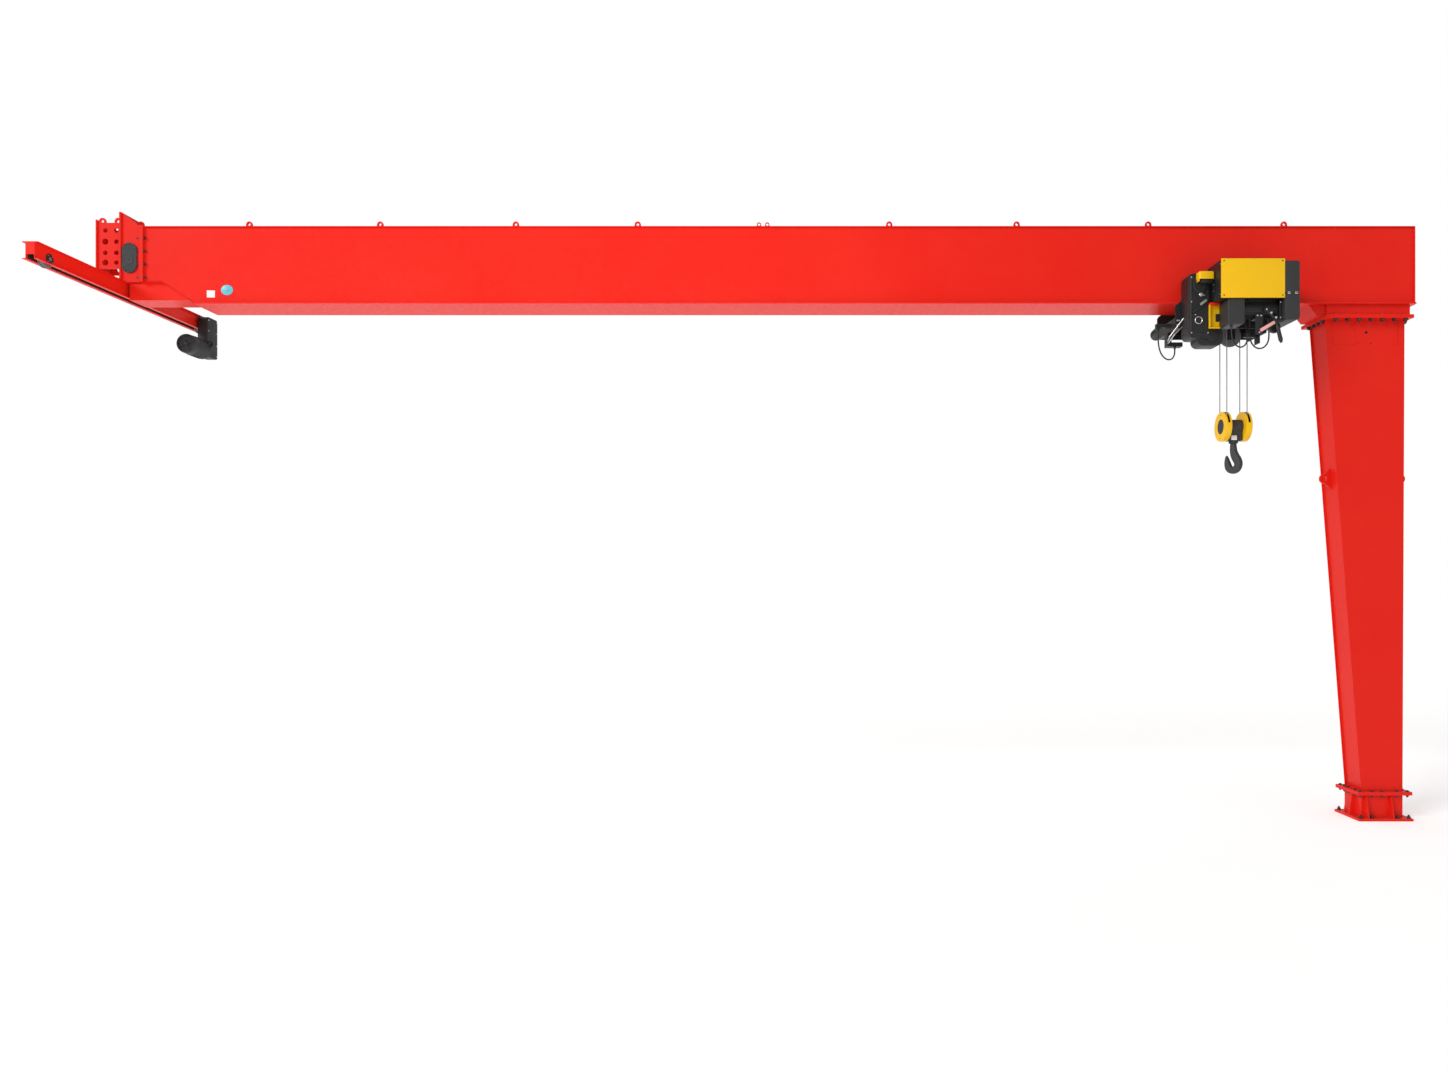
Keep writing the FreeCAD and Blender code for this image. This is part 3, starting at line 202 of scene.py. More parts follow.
def ring(major, minor, centre, axis, around=48, across=10):
    deselect()
    bpy.ops.mesh.primitive_torus_add(major_radius=major, minor_radius=minor, major_segments=around,
                                     minor_segments=across)
    piece = bpy.context.object
    piece.data.transform(pointing(centre, axis))
    return piece


def turned(profile, matrix=None, sides=32):
    """A turned piece: a disc drawn up through the profile's (radius, height) steps."""
    radius, height = profile[0]
    deselect()
    bpy.ops.mesh.primitive_circle_add(vertices=sides, radius=radius, fill_type="NGON",
                                      location=(0, 0, height))
    piece = settle(bpy.context.object)
    bpy.ops.object.mode_set(mode="EDIT")
    bpy.ops.mesh.select_all(action="SELECT")
    for next_radius, next_height in profile[1:]:
        pulled(0, 0, next_height - height)()
        share = next_radius / radius
        bpy.ops.transform.resize(value=(share, share, 1), center_override=(0, 0, next_height))
        radius, height = next_radius, next_height
    outward(piece)
    if matrix is not None:
        piece.data.transform(matrix)
    return piece


def joined(pieces):
    deselect()
    for piece in pieces:
        piece.select_set(True)
    bpy.context.view_layer.objects.active = pieces[0]
    if len(pieces) > 1:
        bpy.ops.object.join()
    return bpy.context.object


def slab(width, height, corner, thickness, matrix):
    """A flat plate with rounded corners, its back on the matrix's XY plane."""
    deselect()
    bpy.ops.mesh.primitive_plane_add(size=1, scale=(1, 1, 1))
    piece = settle(bpy.context.object)
    piece.data.transform(Matrix.Diagonal((width, height, 1, 1)))
    bpy.ops.object.mode_set(mode="EDIT")
    bpy.ops.mesh.select_all(action="SELECT")
    bpy.ops.mesh.bevel(affect="VERTICES", offset=corner, segments=6)
    pulled(0, 0, thickness)()
    outward(piece)
    piece.data.transform(matrix)
    return piece


def repeated(model, matrices):
    """One small model copied to each place, the copies joined, and the model itself removed."""
    copies = []
    for matrix in matrices:
        copy = model.copy()
        copy.data = model.data.copy()
        copy.data.transform(matrix)
        bpy.context.collection.objects.link(copy)
        copies.append(copy)
    bpy.data.objects.remove(model)
    return joined(copies)


def finished(piece, name, material, body, smooth=35.0):
    """Names a piece, paints it, smooths it by angle and hangs it on its body."""
    take(piece)
    piece.name = piece.data.name = name
    piece.data.materials.clear()
    piece.data.materials.append(bpy.data.materials[material])
    for polygon in piece.data.polygons:
        polygon.material_index = 0
    bpy.ops.object.shade_smooth_by_angle(angle=math.radians(smooth))
    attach(piece, body)
    return piece


def outward(piece):
    """Turns every face of a closed piece outwards."""
    take(piece)
    bpy.ops.object.mode_set(mode="EDIT")
    bpy.ops.mesh.select_all(action="SELECT")
    bpy.ops.mesh.normals_make_consistent(inside=False)
    bpy.ops.object.mode_set(mode="OBJECT")
    return piece


def softened(node, name, width, material, body):
    """A copy of a plain solid with its edges rounded, shown in the solid's place."""
    source = NODES[node]
    piece = source.copy()
    piece.data = source.data.copy()
    for key in list(piece.keys()):
        del piece[key]
    piece.parent = None
    piece.matrix_world = Matrix.Identity(4)
    bpy.context.collection.objects.link(piece)
    take(piece)
    bpy.ops.object.mode_set(mode="EDIT")
    bpy.ops.mesh.select_all(action="SELECT")
    bpy.ops.mesh.remove_doubles(threshold=0.00002)
    bpy.ops.mesh.dissolve_limited(angle_limit=math.radians(0.8))
    bpy.ops.object.mode_set(mode="OBJECT")
    for layer in list(piece.data.attributes):
        if layer.name in ("custom_normal", "sharp_face", "sharp_edge"):
            piece.data.attributes.remove(layer)
    rounded(piece, width, segments=3, angle=40.0)
    finished(piece, name, material, body)
    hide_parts(node)
    return piece


# ---------------------------------------------------------------- fasteners, all standing on the origin
ROOT3 = math.sqrt(3.0)
CORNER_DRAW_IN = 0.09  # of the width across flats


def hex_block(flats, low, height):
    """A hexagon with its upper corners drawn in."""
    deselect()
    bpy.ops.mesh.primitive_cylinder_add(vertices=6, radius=flats / ROOT3, depth=height * 0.85,
                                        location=(0, 0, low + height * 0.425))
    piece = settle(bpy.context.object)
    share = 1 - 2 * CORNER_DRAW_IN
    return shaped(piece, lambda centre, normal: normal.z > 0.9, pulled(0, 0, height * 0.15),
                  lambda: bpy.ops.transform.resize(value=(share, share, 1),
                                                   center_override=(0, 0, low + height)))


def washer(flats, thickness):
    outer = flats * 0.61
    return turned([(outer, 0.0002), (outer, thickness * 0.8), (outer * 0.97, thickness)], sides=20)


def hex_bolt(flats):
    thickness = flats * 0.09
    return joined([washer(flats, thickness), hex_block(flats, thickness, flats * 0.42)])


def nut_with_stud(flats, stick_out, below=0.0):
    """A washer, a nut and the threaded end of its stud."""
    thickness = flats * 0.09
    nut_height = flats * 0.52
    top = thickness + nut_height
    radius = flats * 0.31
    steps = [(radius, -below)] if below else [(radius, 0.001)]
    steps.append((radius, top))
    turns = max(3, int(stick_out / 0.003))
    for i in range(turns):
        height = top + stick_out * (i + 0.5) / turns
        steps.append((radius * (0.93 if i % 2 else 1.0), height))
    steps.append((radius * 0.84, top + stick_out))
    return joined([washer(flats, thickness), hex_block(flats, thickness, nut_height),
                   turned(steps, sides=18)])


def socket_screw(radius):
    """A low round screw head with a drive recess."""
    piece = turned([(radius, 0.0001), (radius, radius * 0.45), (radius * 0.82, radius * 0.72),
                    (radius * 0.45, radius * 0.8), (radius * 0.4, radius * 0.4)], sides=16)
    return piece


# ---------------------------------------------------------------- shader groups
COLOUR, VALUE = "NodeSocketColor", "NodeSocketFloat"


def new_group(name, inputs, outputs):
    group = bpy.data.node_groups.new(name, "ShaderNodeTree")
    for label, kind, value in inputs:
        socket = group.interface.new_socket(label, in_out="INPUT", socket_type=kind)
        socket.default_value = value
    for label, kind in outputs:
        group.interface.new_socket(label, in_out="OUTPUT", socket_type=kind)
    return group, group.nodes.new("NodeGroupInput"), group.nodes.new("NodeGroupOutput")


def noise(tree, vector, scale, detail=3.0, roughness=0.5):
    node = tree.nodes.new("ShaderNodeTexNoise")
    node.inputs["Scale"].default_value = scale
    node.inputs["Detail"].default_value = detail
    node.inputs["Roughness"].default_value = roughness
    tree.links.new(vector, node.inputs["Vector"])
    return node.outputs["Fac"]


def spread(tree, value, low, high, to_low=0.0, to_high=1.0):
    node = tree.nodes.new("ShaderNodeMapRange")
    for label, number in zip(("From Min", "From Max", "To Min", "To Max"), (low, high, to_low, to_high)):
        node.inputs[label].default_value = number
    tree.links.new(value, node.inputs["Value"])
    return node.outputs["Result"]


def sum_up(tree, kind, a, b):
    node = tree.nodes.new("ShaderNodeMath")
    node.operation = kind
    for socket, value in zip(node.inputs, (a, b)):
        if isinstance(value, (int, float)):
            socket.default_value = value
        else:
            tree.links.new(value, socket)
    return node.outputs["Value"]


def blended(tree, factor, a, b):
    node = tree.nodes.new("ShaderNodeMix")
    node.data_type = "RGBA"
    tree.links.new(factor, node.inputs["Factor"])
    for label, value in (("A", a), ("B", b)):
        socket = [s for s in node.inputs if s.name == label and s.type == "RGBA"][0]
        if hasattr(value, "links"):
            tree.links.new(value, socket)
        else:
            socket.default_value = value
    return [s for s in node.outputs if s.type == "RGBA"][0]


def object_coordinates(tree):
    return tree.nodes.new("ShaderNodeTexCoord").outputs["Object"]


def make_enamel_group():
    """Sprayed enamel: broad colour drift, fine orange peel and uneven gloss."""
    group, inlet, outlet = new_group(
        "sprayed_enamel",
        [("Colour", COLOUR, (0.7, 0.02, 0.01, 1)), ("Drift Colour", COLOUR, (0.8, 0.1, 0.06, 1)),
         ("Drift", VALUE, 0.2), ("Gloss Low", VALUE, 0.28),
         ("Gloss High", VALUE, 0.42)],
        [("Colour", COLOUR), ("Roughness", VALUE), ("Height", VALUE)])
    where = object_coordinates(group)
    broad = spread(group, noise(group, where, 0.55, 2.0), 0.35, 0.7)
    middle = spread(group, noise(group, where, 5.0, 4.0), 0.3, 0.75)
    both = sum_up(group, "ADD", sum_up(group, "MULTIPLY", broad, 0.7), sum_up(group, "MULTIPLY", middle, 0.3))
    drift = sum_up(group, "MULTIPLY", both, inlet.outputs["Drift"])
    group.links.new(blended(group, drift, inlet.outputs["Colour"], inlet.outputs["Drift Colour"]),
                    outlet.inputs["Colour"])
    patch = spread(group, noise(group, where, 14.0, 5.0, 0.6), 0.3, 0.7)
    span = sum_up(group, "SUBTRACT", inlet.outputs["Gloss High"], inlet.outputs["Gloss Low"])
    gloss = sum_up(group, "ADD", inlet.outputs["Gloss Low"], sum_up(group, "MULTIPLY", patch, span))
    group.links.new(gloss, outlet.inputs["Roughness"])
    peel = noise(group, where, 180.0, 2.0)
    wave = noise(group, where, 7.0, 1.0)
    height = sum_up(group, "ADD", sum_up(group, "MULTIPLY", peel, 0.25), wave)
    group.links.new(height, outlet.inputs["Height"])
    return group


def make_dust_group():
    """Pale dust on faces that look up, broken by noise."""
    group, inlet, outlet = new_group(
        "settled_dust",
        [("Colour", COLOUR, (0.5, 0.5, 0.5, 1)), ("Dust Colour", COLOUR, (0.42, 0.34, 0.3, 1)),
         ("Amount", VALUE, 0.3)],
        [("Colour", COLOUR), ("Mask", VALUE)])
    geometry = group.nodes.new("ShaderNodeNewGeometry")
    split = group.nodes.new("ShaderNodeSeparateXYZ")
    group.links.new(geometry.outputs["Normal"], split.inputs[0])
    up = spread(group, split.outputs["Z"], 0.6, 0.98)
    broken = spread(group, noise(group, object_coordinates(group), 22.0, 6.0, 0.65), 0.38, 0.62)
    mask = sum_up(group, "MULTIPLY", sum_up(group, "MULTIPLY", up, broken), inlet.outputs["Amount"])
    group.links.new(blended(group, mask, inlet.outputs["Colour"], inlet.outputs["Dust Colour"]),
                    outlet.inputs["Colour"])
    group.links.new(mask, outlet.inputs["Mask"])
    return group


def make_cast_group():
    """The grain of sand castings, forgings and moulded plastic."""
    group, inlet, outlet = new_group(
        "cast_grain",
        [("Colour", COLOUR, (0.04, 0.04, 0.04, 1)), ("Light Colour", COLOUR, (0.1, 0.1, 0.1, 1)),
         ("Scale", VALUE, 160.0), ("Wear", VALUE, 0.3)],
        [("Colour", COLOUR), ("Height", VALUE), ("Mask", VALUE)])
    where = object_coordinates(group)
    grain = group.nodes.new("ShaderNodeTexNoise")
    grain.inputs["Detail"].default_value = 4.0
    group.links.new(where, grain.inputs["Vector"])
    group.links.new(inlet.outputs["Scale"], grain.inputs["Scale"])
    cloud = spread(group, noise(group, where, 9.0, 5.0, 0.6), 0.4, 0.72)
    mask = sum_up(group, "MULTIPLY", cloud, inlet.outputs["Wear"])
    group.links.new(blended(group, mask, inlet.outputs["Colour"], inlet.outputs["Light Colour"]),
                    outlet.inputs["Colour"])
    group.links.new(grain.outputs["Fac"], outlet.inputs["Height"])
    group.links.new(mask, outlet.inputs["Mask"])
    return group


GROUPS = {}


def placed(tree, name, **values):
    node = tree.nodes.new("ShaderNodeGroup")
    node.node_tree = GROUPS[name]
    for label, value in values.items():
        node.inputs[label.replace("_", " ")].default_value = value
    return node


def rgba(colour, gain=1.0):
    return tuple(min(1.0, c * gain) for c in colour[:3]) + (1.0,)


def new_material(name, **settings):
    material = bpy.data.materials.new(name)
    material.use_nodes = True
    tree = material.node_tree
    shader = tree.nodes["Principled BSDF"]
    for label, value in settings.items():
        shader.inputs[label.replace("_", " ")].default_value = value
    return tree, shader


def bumped(tree, shader, height, distance, strength=1.0):
    bump = tree.nodes.new("ShaderNodeBump")
    bump.inputs["Distance"].default_value = distance
    bump.inputs["Strength"].default_value = strength
    tree.links.new(height, bump.inputs["Height"])
    tree.links.new(bump.outputs["Normal"], shader.inputs["Normal"])


def enamel(name, colour, drift_colour, drift, gloss, dust, ripples=0.0, **settings):
    tree, shader = new_material(name, **settings)
    paint = placed(tree, "sprayed_enamel", Colour=colour, Drift_Colour=drift_colour, Drift=drift,
                   Gloss_Low=gloss[0], Gloss_High=gloss[1])
    film = placed(tree, "settled_dust", Amount=dust)
    tree.links.new(paint.outputs["Colour"], film.inputs["Colour"])
    tree.links.new(film.outputs["Colour"], shader.inputs["Base Color"])
    dulled = sum_up(tree, "MULTIPLY", film.outputs["Mask"], 0.6)
    rough = sum_up(tree, "ADD", paint.outputs["Roughness"], dulled)
    tree.links.new(rough, shader.inputs["Roughness"])
    height = paint.outputs["Height"]
    if ripples:
        fine = noise(tree, object_coordinates(tree), ripples, 1.0)
        height = sum_up(tree, "ADD", height, sum_up(tree, "MULTIPLY", fine, 4.0))
    bumped(tree, shader, height, 0.0006 if not ripples else 0.0012)


def casting(name, colour, light, scale, wear, rough, depth, **settings):
    tree, shader = new_material(name, **settings)
    grain = placed(tree, "cast_grain", Colour=colour, Light_Colour=light, Scale=scale, Wear=wear)
    film = placed(tree, "settled_dust", Amount=0.12)
    tree.links.new(grain.outputs["Colour"], film.inputs["Colour"])
    tree.links.new(film.outputs["Colour"], shader.inputs["Base Color"])
    tree.links.new(sum_up(tree, "SUBTRACT", rough, sum_up(tree, "MULTIPLY", grain.outputs["Mask"], 0.25)),
                   shader.inputs["Roughness"])
    bumped(tree, shader, grain.outputs["Height"], depth)


def machined(name, colour, scale_along, axis, rough, **settings):
    """Bare turned or drawn steel with fine lines round or along it."""
    tree, shader = new_material(name, Metallic=1.0, **settings)
    mapping = tree.nodes.new("ShaderNodeMapping")
    scale = [6.0, 6.0, 6.0]
    scale[axis] = scale_along
    mapping.inputs["Scale"].default_value = scale
    tree.links.new(object_coordinates(tree), mapping.inputs["Vector"])
    lines = noise(tree, mapping.outputs["Vector"], 1.0, 4.0, 0.6)
    tree.links.new(blended(tree, lines, rgba(colour, 0.55), rgba(colour, 1.25)),
                   shader.inputs["Base Color"])
    tree.links.new(spread(tree, lines, 0.3, 0.7, rough - 0.08, rough + 0.14), shader.inputs["Roughness"])
    bumped(tree, shader, lines, 0.0002)


def make_materials(finish):
    GROUPS["sprayed_enamel"] = make_enamel_group()
    GROUPS["settled_dust"] = make_dust_group()
    GROUPS["cast_grain"] = make_cast_group()
    red = rgba(finish.red)
    red_drift = (min(1.0, red[0] * 1.08), red[1] * 2.2, red[2] * 2.4, 1)
    yellow = rgba(finish.yellow)
    quiet = {"Specular_IOR_Level": 0.15, "IOR": 1.45}
    enamel("red_enamel", red, red_drift, 0.45, (0.30, 0.44), 0.16, **quiet)
    enamel("red_weld", rgba(finish.red, 0.82), red_drift, 0.4, (0.34, 0.5), 0.1, ripples=260.0, **quiet)
    enamel("yellow_enamel", yellow, rgba(finish.yellow, 0.86), 0.5, (0.26, 0.38), 0.12,
           Specular_IOR_Level=0.35, IOR=1.45)
    casting("machine_paint", rgba(finish.machine), rgba(finish.machine, 2.1), 210.0, 0.45, 0.5, 0.0006,
            Specular_IOR_Level=0.4)
    casting("hood_plastic", rgba(finish.hood), rgba(finish.hood, 1.35), 900.0, 0.35, 0.55, 0.0002,
            Specular_IOR_Level=0.4)
    casting("forged_black", rgba(finish.forged), rgba(finish.forged, 3.0), 120.0, 0.55, 0.46, 0.0009,
            Specular_IOR_Level=0.5)
    casting("black_bolt", (0.012, 0.012, 0.013, 1), (0.05, 0.048, 0.045, 1), 400.0, 0.5, 0.42, 0.0002,
            Specular_IOR_Level=0.5)
    casting("cable_sheath", (0.010, 0.010, 0.011, 1), (0.03, 0.03, 0.03, 1), 700.0, 0.4, 0.5, 0.0001,
            Specular_IOR_Level=0.45)
    casting("white_enamel_plate", (0.80, 0.80, 0.79, 1), (0.72, 0.72, 0.70, 1), 300.0, 0.5, 0.4, 0.0001)
    casting("blue_enamel_plate", (0.09, 0.45, 0.55, 1), (0.13, 0.52, 0.60, 1), 300.0, 0.5, 0.4, 0.0001)
    casting("pink_hose", (0.78, 0.36, 0.33, 1), (0.84, 0.5, 0.46, 1), 200.0, 0.5, 0.45, 0.0002)
    # Near-black paint that stands for shade: painted shade in holes, openings and recesses.
    casting("dark_recess", (0.004, 0.004, 0.004, 1), (0.008, 0.008, 0.008, 1), 200.0, 0.3, 0.8, 0.0001)
    machined("wheel_steel", (0.20, 0.20, 0.21), 60.0, 1, 0.42)
    machined("wire_rope_steel", (0.36, 0.36, 0.37), 30.0, 2, 0.38)
    machined("zinc_plate", (0.72, 0.72, 0.70), 40.0, 2, 0.3)


# ---------------------------------------------------------------- which finish each solid wears
SOLID_FINISH = {
    "machine_paint": ("control_cabinet", "gear_case", "hoist_motor", "travel_drive", "drum_frames",
                      "trolley_side_plates", "trolley_tie_beams", "sheave_beam", "drive_gearbox",
                      "drive_motor", "stub_hatch_covers", "limit_lever", "counterweight"),
    "hood_plastic": ("switch_box", "motor_hood_upper", "motor_hood_lower"),
    "yellow_enamel": ("brake_cover", "gear_guard", "cabinet_cover", "sheave_covers"),
    "wheel_steel": ("rope_drum", "return_sheave", "carriage_wheel_near", "carriage_wheel_far",
                    "trolley_wheels_left", "trolley_wheels_right"),
    "forged_black": ("crosshead", "hook", "block_sheaves"),
    "wire_rope_steel": ("rope_falls",),
    "cable_sheath": ("tow_cable", "switch_cable", "motor_cable"),
}


class CRANE_OT_solid_finishes(bpy.types.Operator):
    """Make the materials and paint every solid of the crane"""
    bl_idname = "crane.solid_finishes"
    bl_label = "Paint the solids"

    def execute(self, context):
        make_materials(context.scene.crane_finish)
        wears = {node: name for name, nodes in SOLID_FINISH.items() for node in nodes}
        for node, solid in NODES.items():
            material = bpy.data.materials[wears.get(node, "red_enamel")]
            for slot in solid.material_slots:
                slot.material = material
        return {"FINISHED"}


# ---------------------------------------------------------------- stage
class CRANE_OT_stage(bpy.types.Operator):
    """Set the camera, the soft light and the pale floor"""
    bl_idname = "crane.stage"
    bl_label = "Stage"

    def execute(self, context):
        stage = context.scene.crane_stage
        camera_data = bpy.data.cameras.new("camera")
        camera_data.lens = stage.lens
        camera_data.sensor_width = 36.0
        camera_data.shift_x = -0.0387
        camera_data.shift_y = 0.0256
        camera_data.clip_end = 400.0
        camera = bpy.data.objects.new("camera", camera_data)
        camera.location = stage.eye
        camera.rotation_euler = (math.radians(90), 0, 0)
        context.collection.objects.link(camera)
        context.scene.camera = camera

        deselect()
        bpy.ops.mesh.primitive_plane_add(size=260, location=(-8, 40, 0))
        floor = settle(bpy.context.object)
        floor.name = "pale_floor"
        tree, shader = new_material("pale_floor", Roughness=0.9, Specular_IOR_Level=0.0,
                                    Emission_Strength=0.34, Emission_Color=(1, 1, 1, 1))
        tint = noise(tree, object_coordinates(tree), 0.4, 4.0)
        tree.links.new(blended(tree, tint, (0.90, 0.90, 0.90, 1), (0.93, 0.93, 0.93, 1)),
                       shader.inputs["Base Color"])
        floor.data.materials.append(bpy.data.materials["pale_floor"])

        world = bpy.data.worlds.new("pale_surroundings")
        world.use_nodes = True
        tree = world.node_tree
        tree.nodes.clear()
        seen = tree.nodes.new("ShaderNodeBackground")
        seen.inputs["Color"].default_value = (1, 1, 1, 1)
        lit = tree.nodes.new("ShaderNodeBackground")
        lit.inputs["Color"].default_value = (1.0, 0.99, 0.98, 1)
        lit.inputs["Strength"].default_value = stage.sky
        ray = tree.nodes.new("ShaderNodeLightPath")
        mix = tree.nodes.new("ShaderNodeMixShader")
        out = tree.nodes.new("ShaderNodeOutputWorld")
        tree.links.new(ray.outputs["Is Camera Ray"], mix.inputs[0])
        tree.links.new(lit.outputs[0], mix.inputs[1])
        tree.links.new(seen.outputs[0], mix.inputs[2])
        tree.links.new(mix.outputs[0], out.inputs[0])
        context.scene.world = world

        sun_data = bpy.data.lights.new("soft_sun", "SUN")
        sun_data.energy = stage.sun
        sun_data.angle = math.radians(25)
        sun = bpy.data.objects.new("soft_sun", sun_data)
        towards = Vector((-0.72, -0.56, 0.42))
        sun.rotation_euler = towards.to_track_quat("Z", "Y").to_euler()
        context.collection.objects.link(sun)

        panel_data = bpy.data.lights.new("left_panel", "AREA")
        panel_data.energy = 520.0
        panel_data.shape = "RECTANGLE"
        panel_data.size = 3.0
        panel_data.size_y = 3.0
        panel = bpy.data.objects.new("left_panel", panel_data)
        panel.location = (-10.5, -9.5, 5.5)
        aim = Vector((-18.0, -0.3, 7.6)) - panel.location
        panel.rotation_euler = aim.to_track_quat("-Z", "Y").to_euler()
        context.collection.objects.link(panel)

        context.scene.view_settings.view_transform = "Standard"
        context.scene.view_settings.look = "None"
        return {"FINISHED"}


# ---------------------------------------------------------------- cable loops
CABLES = {
    "tow_cable": ((-3.175, -0.140, 7.030), (-3.175, -0.140, 6.915), (-3.168, -0.142, 6.790),
                  (-3.130, -0.144, 6.670), (-3.050, -0.138, 6.598), (-2.965, -0.120, 6.610),
                  (-2.918, -0.090, 6.685), (-2.900, -0.048, 6.750), (-2.900, -0.048, 6.810)),
    "switch_cable": ((-2.440, -0.880, 6.920), (-2.440, -0.880, 6.830), (-2.430, -0.878, 6.730),
                     (-2.385, -0.874, 6.650), (-2.310, -0.868, 6.610), (-2.235, -0.862, 6.650),
                     (-2.203, -0.848, 6.740), (-2.197, -0.812, 6.850), (-2.203, -0.757, 6.965),
                     (-2.203, -0.757, 7.0448)),
    "motor_cable": ((-2.130, -0.750, 7.0448), (-2.130, -0.750, 6.930), (-2.140, -0.758, 6.800),
                    (-2.115, -0.768, 6.690), (-2.045, -0.776, 6.620), (-1.955, -0.776, 6.625),
                    (-1.885, -0.768, 6.700), (-1.865, -0.758, 6.810), (-1.872, -0.750, 6.930),
                    (-1.872, -0.750, 7.0448)),
}


class CRANE_OT_cable_loops(bpy.types.Operator):
    """Hang the three free cable loops under the hoist, each in its glands"""
    bl_idname = "crane.cable_loops"
    bl_label = "Cable loops"

    def execute(self, context):
        radius = context.scene.crane_ropes.cable_radius
        for node, points in CABLES.items():
            curve = bpy.data.curves.new(node + "_loop", "CURVE")
            curve.dimensions = "3D"
            curve.bevel_depth = radius
            curve.bevel_resolution = 5
            curve.resolution_u = 14
            curve.use_fill_caps = True
            spline = curve.splines.new("NURBS")
            spline.points.add(len(points) - 1)
            for point, place in zip(spline.points, points):
                point.co = (*place, 1.0)
            spline.order_u = 3
            spline.use_endpoint_u = True
            loop = bpy.data.objects.new(node + "_loop", curve)
            context.collection.objects.link(loop)
            curve.materials.append(bpy.data.materials["cable_sheath"])
            glands = []
            for end in (points[0], points[-1]):
                profile = [(radius * 2.0, 0.0), (radius * 2.0, 0.008), (radius * 1.7, 0.011),
                           (radius * 1.6, 0.022), (radius * 1.25, 0.038), (radius * 1.06, 0.044)]
                glands.append(turned(profile, pointing(end, (0, 0, -1)), sides=20))
            gland = finished(joined(glands), node + "_glands", "cable_sheath", "trolley")
            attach(loop, "trolley")
            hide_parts(node)
        return {"FINISHED"}


# ---------------------------------------------------------------- leg and foot
LEG_BOTTOM_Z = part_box("leg_foot_flange")[1].z
LEG_TOP_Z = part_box("leg_head_flange")[0].z
LEG_FRONT_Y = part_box("leg_wide_plates")[0].y


class CRANE_OT_foot_bolts(bpy.types.Operator):
    """Anchor nuts on the base plate, and bolts through the foot flanges"""
    bl_idname = "crane.foot_bolts"
    bl_label = "Foot bolts"

    def execute(self, context):
        sizes = context.scene.crane_fasteners
        low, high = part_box("base_plate")
        edge = 0.043
        xs = (low.x + edge, -0.185, 0.185, high.x - edge)
        ys = (low.y + edge, high.y - edge)
        places = [pointing((x, y, high.z), (0, 0, 1), 0.3 * i + 0.7 * j)
                  for i, x in enumerate(xs) for j, y in enumerate(ys)]
        model = nut_with_stud(sizes.anchor_flats, sizes.anchor_stick_out, below=high.z - 0.002)
        finished(repeated(model, places), "anchor_nuts", "black_bolt", "frame")

        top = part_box("leg_foot_flange")[1].z
        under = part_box("pedestal")[1].z - 0.024
        reach_x, reach_y = 0.338, 0.262
        spots = [(x, s * reach_y) for x in (-reach_x, -0.165, -0.02, 0.19, reach_x) for s in (-1, 1)]
        spots += [(s * reach_x, y) for y in (-0.13, 0.06, 0.15) for s in (-1, 1)]
        heads = repeated(hex_bolt(sizes.flange_flats),
                         [pointing((x, y, top), (0, 0, 1), x * 9 + y * 5) for x, y in spots])
        nuts = repeated(nut_with_stud(sizes.flange_flats, 0.012),
                        [pointing((x, y, under), (0, 0, -1), x * 5 - y * 7) for x, y in spots])
        finished(joined([heads, nuts]), "foot_flange_bolts", "black_bolt", "frame")
        return {"FINISHED"}


class CRANE_OT_head_bolts(bpy.types.Operator):
    """Bolts through the two flanges at the head of the leg"""
    bl_idname = "crane.head_bolts"
    bl_label = "Head bolts"

    def execute(self, context):
        flats = context.scene.crane_fasteners.head_flats
        low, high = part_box("leg_head_flange")
        under, over = low.z, high.z + 0.025
        rows = [low.x + 0.15 + i * 0.167 for i in range(7)]
        spots = [(x, s * 0.318) for x in rows for s in (-1, 1)]
        sides = [(x, y) for x in (low.x + 0.026, high.x - 0.026) for y in (-0.19, -0.06, 0.06, 0.19)]
        nuts = repeated(nut_with_stud(flats, 0.016), [pointing((x, y, under), (0, 0, -1), x * 3 + y)
                                                      for x, y in spots + sides])
        right = [(x, y) for x, y in sides if x > 0]
        tops = repeated(nut_with_stud(flats, 0.014), [pointing((x, y, over), (0, 0, 1), x * 4)
                                                      for x, y in right])
        finished(joined([nuts, tops]), "head_flange_nuts", "black_bolt", "frame")
        heads = repeated(hex_bolt(flats * 0.8),
                         [pointing((x, y, over), (0, 0, 1), x * 4) for x, y in spots])
        finished(heads, "head_flange_bolts", "red_enamel", "frame")
        return {"FINISHED"}


def weld_bead(start, end, radius=0.005):
    return bar(radius, start, end, sides=10)


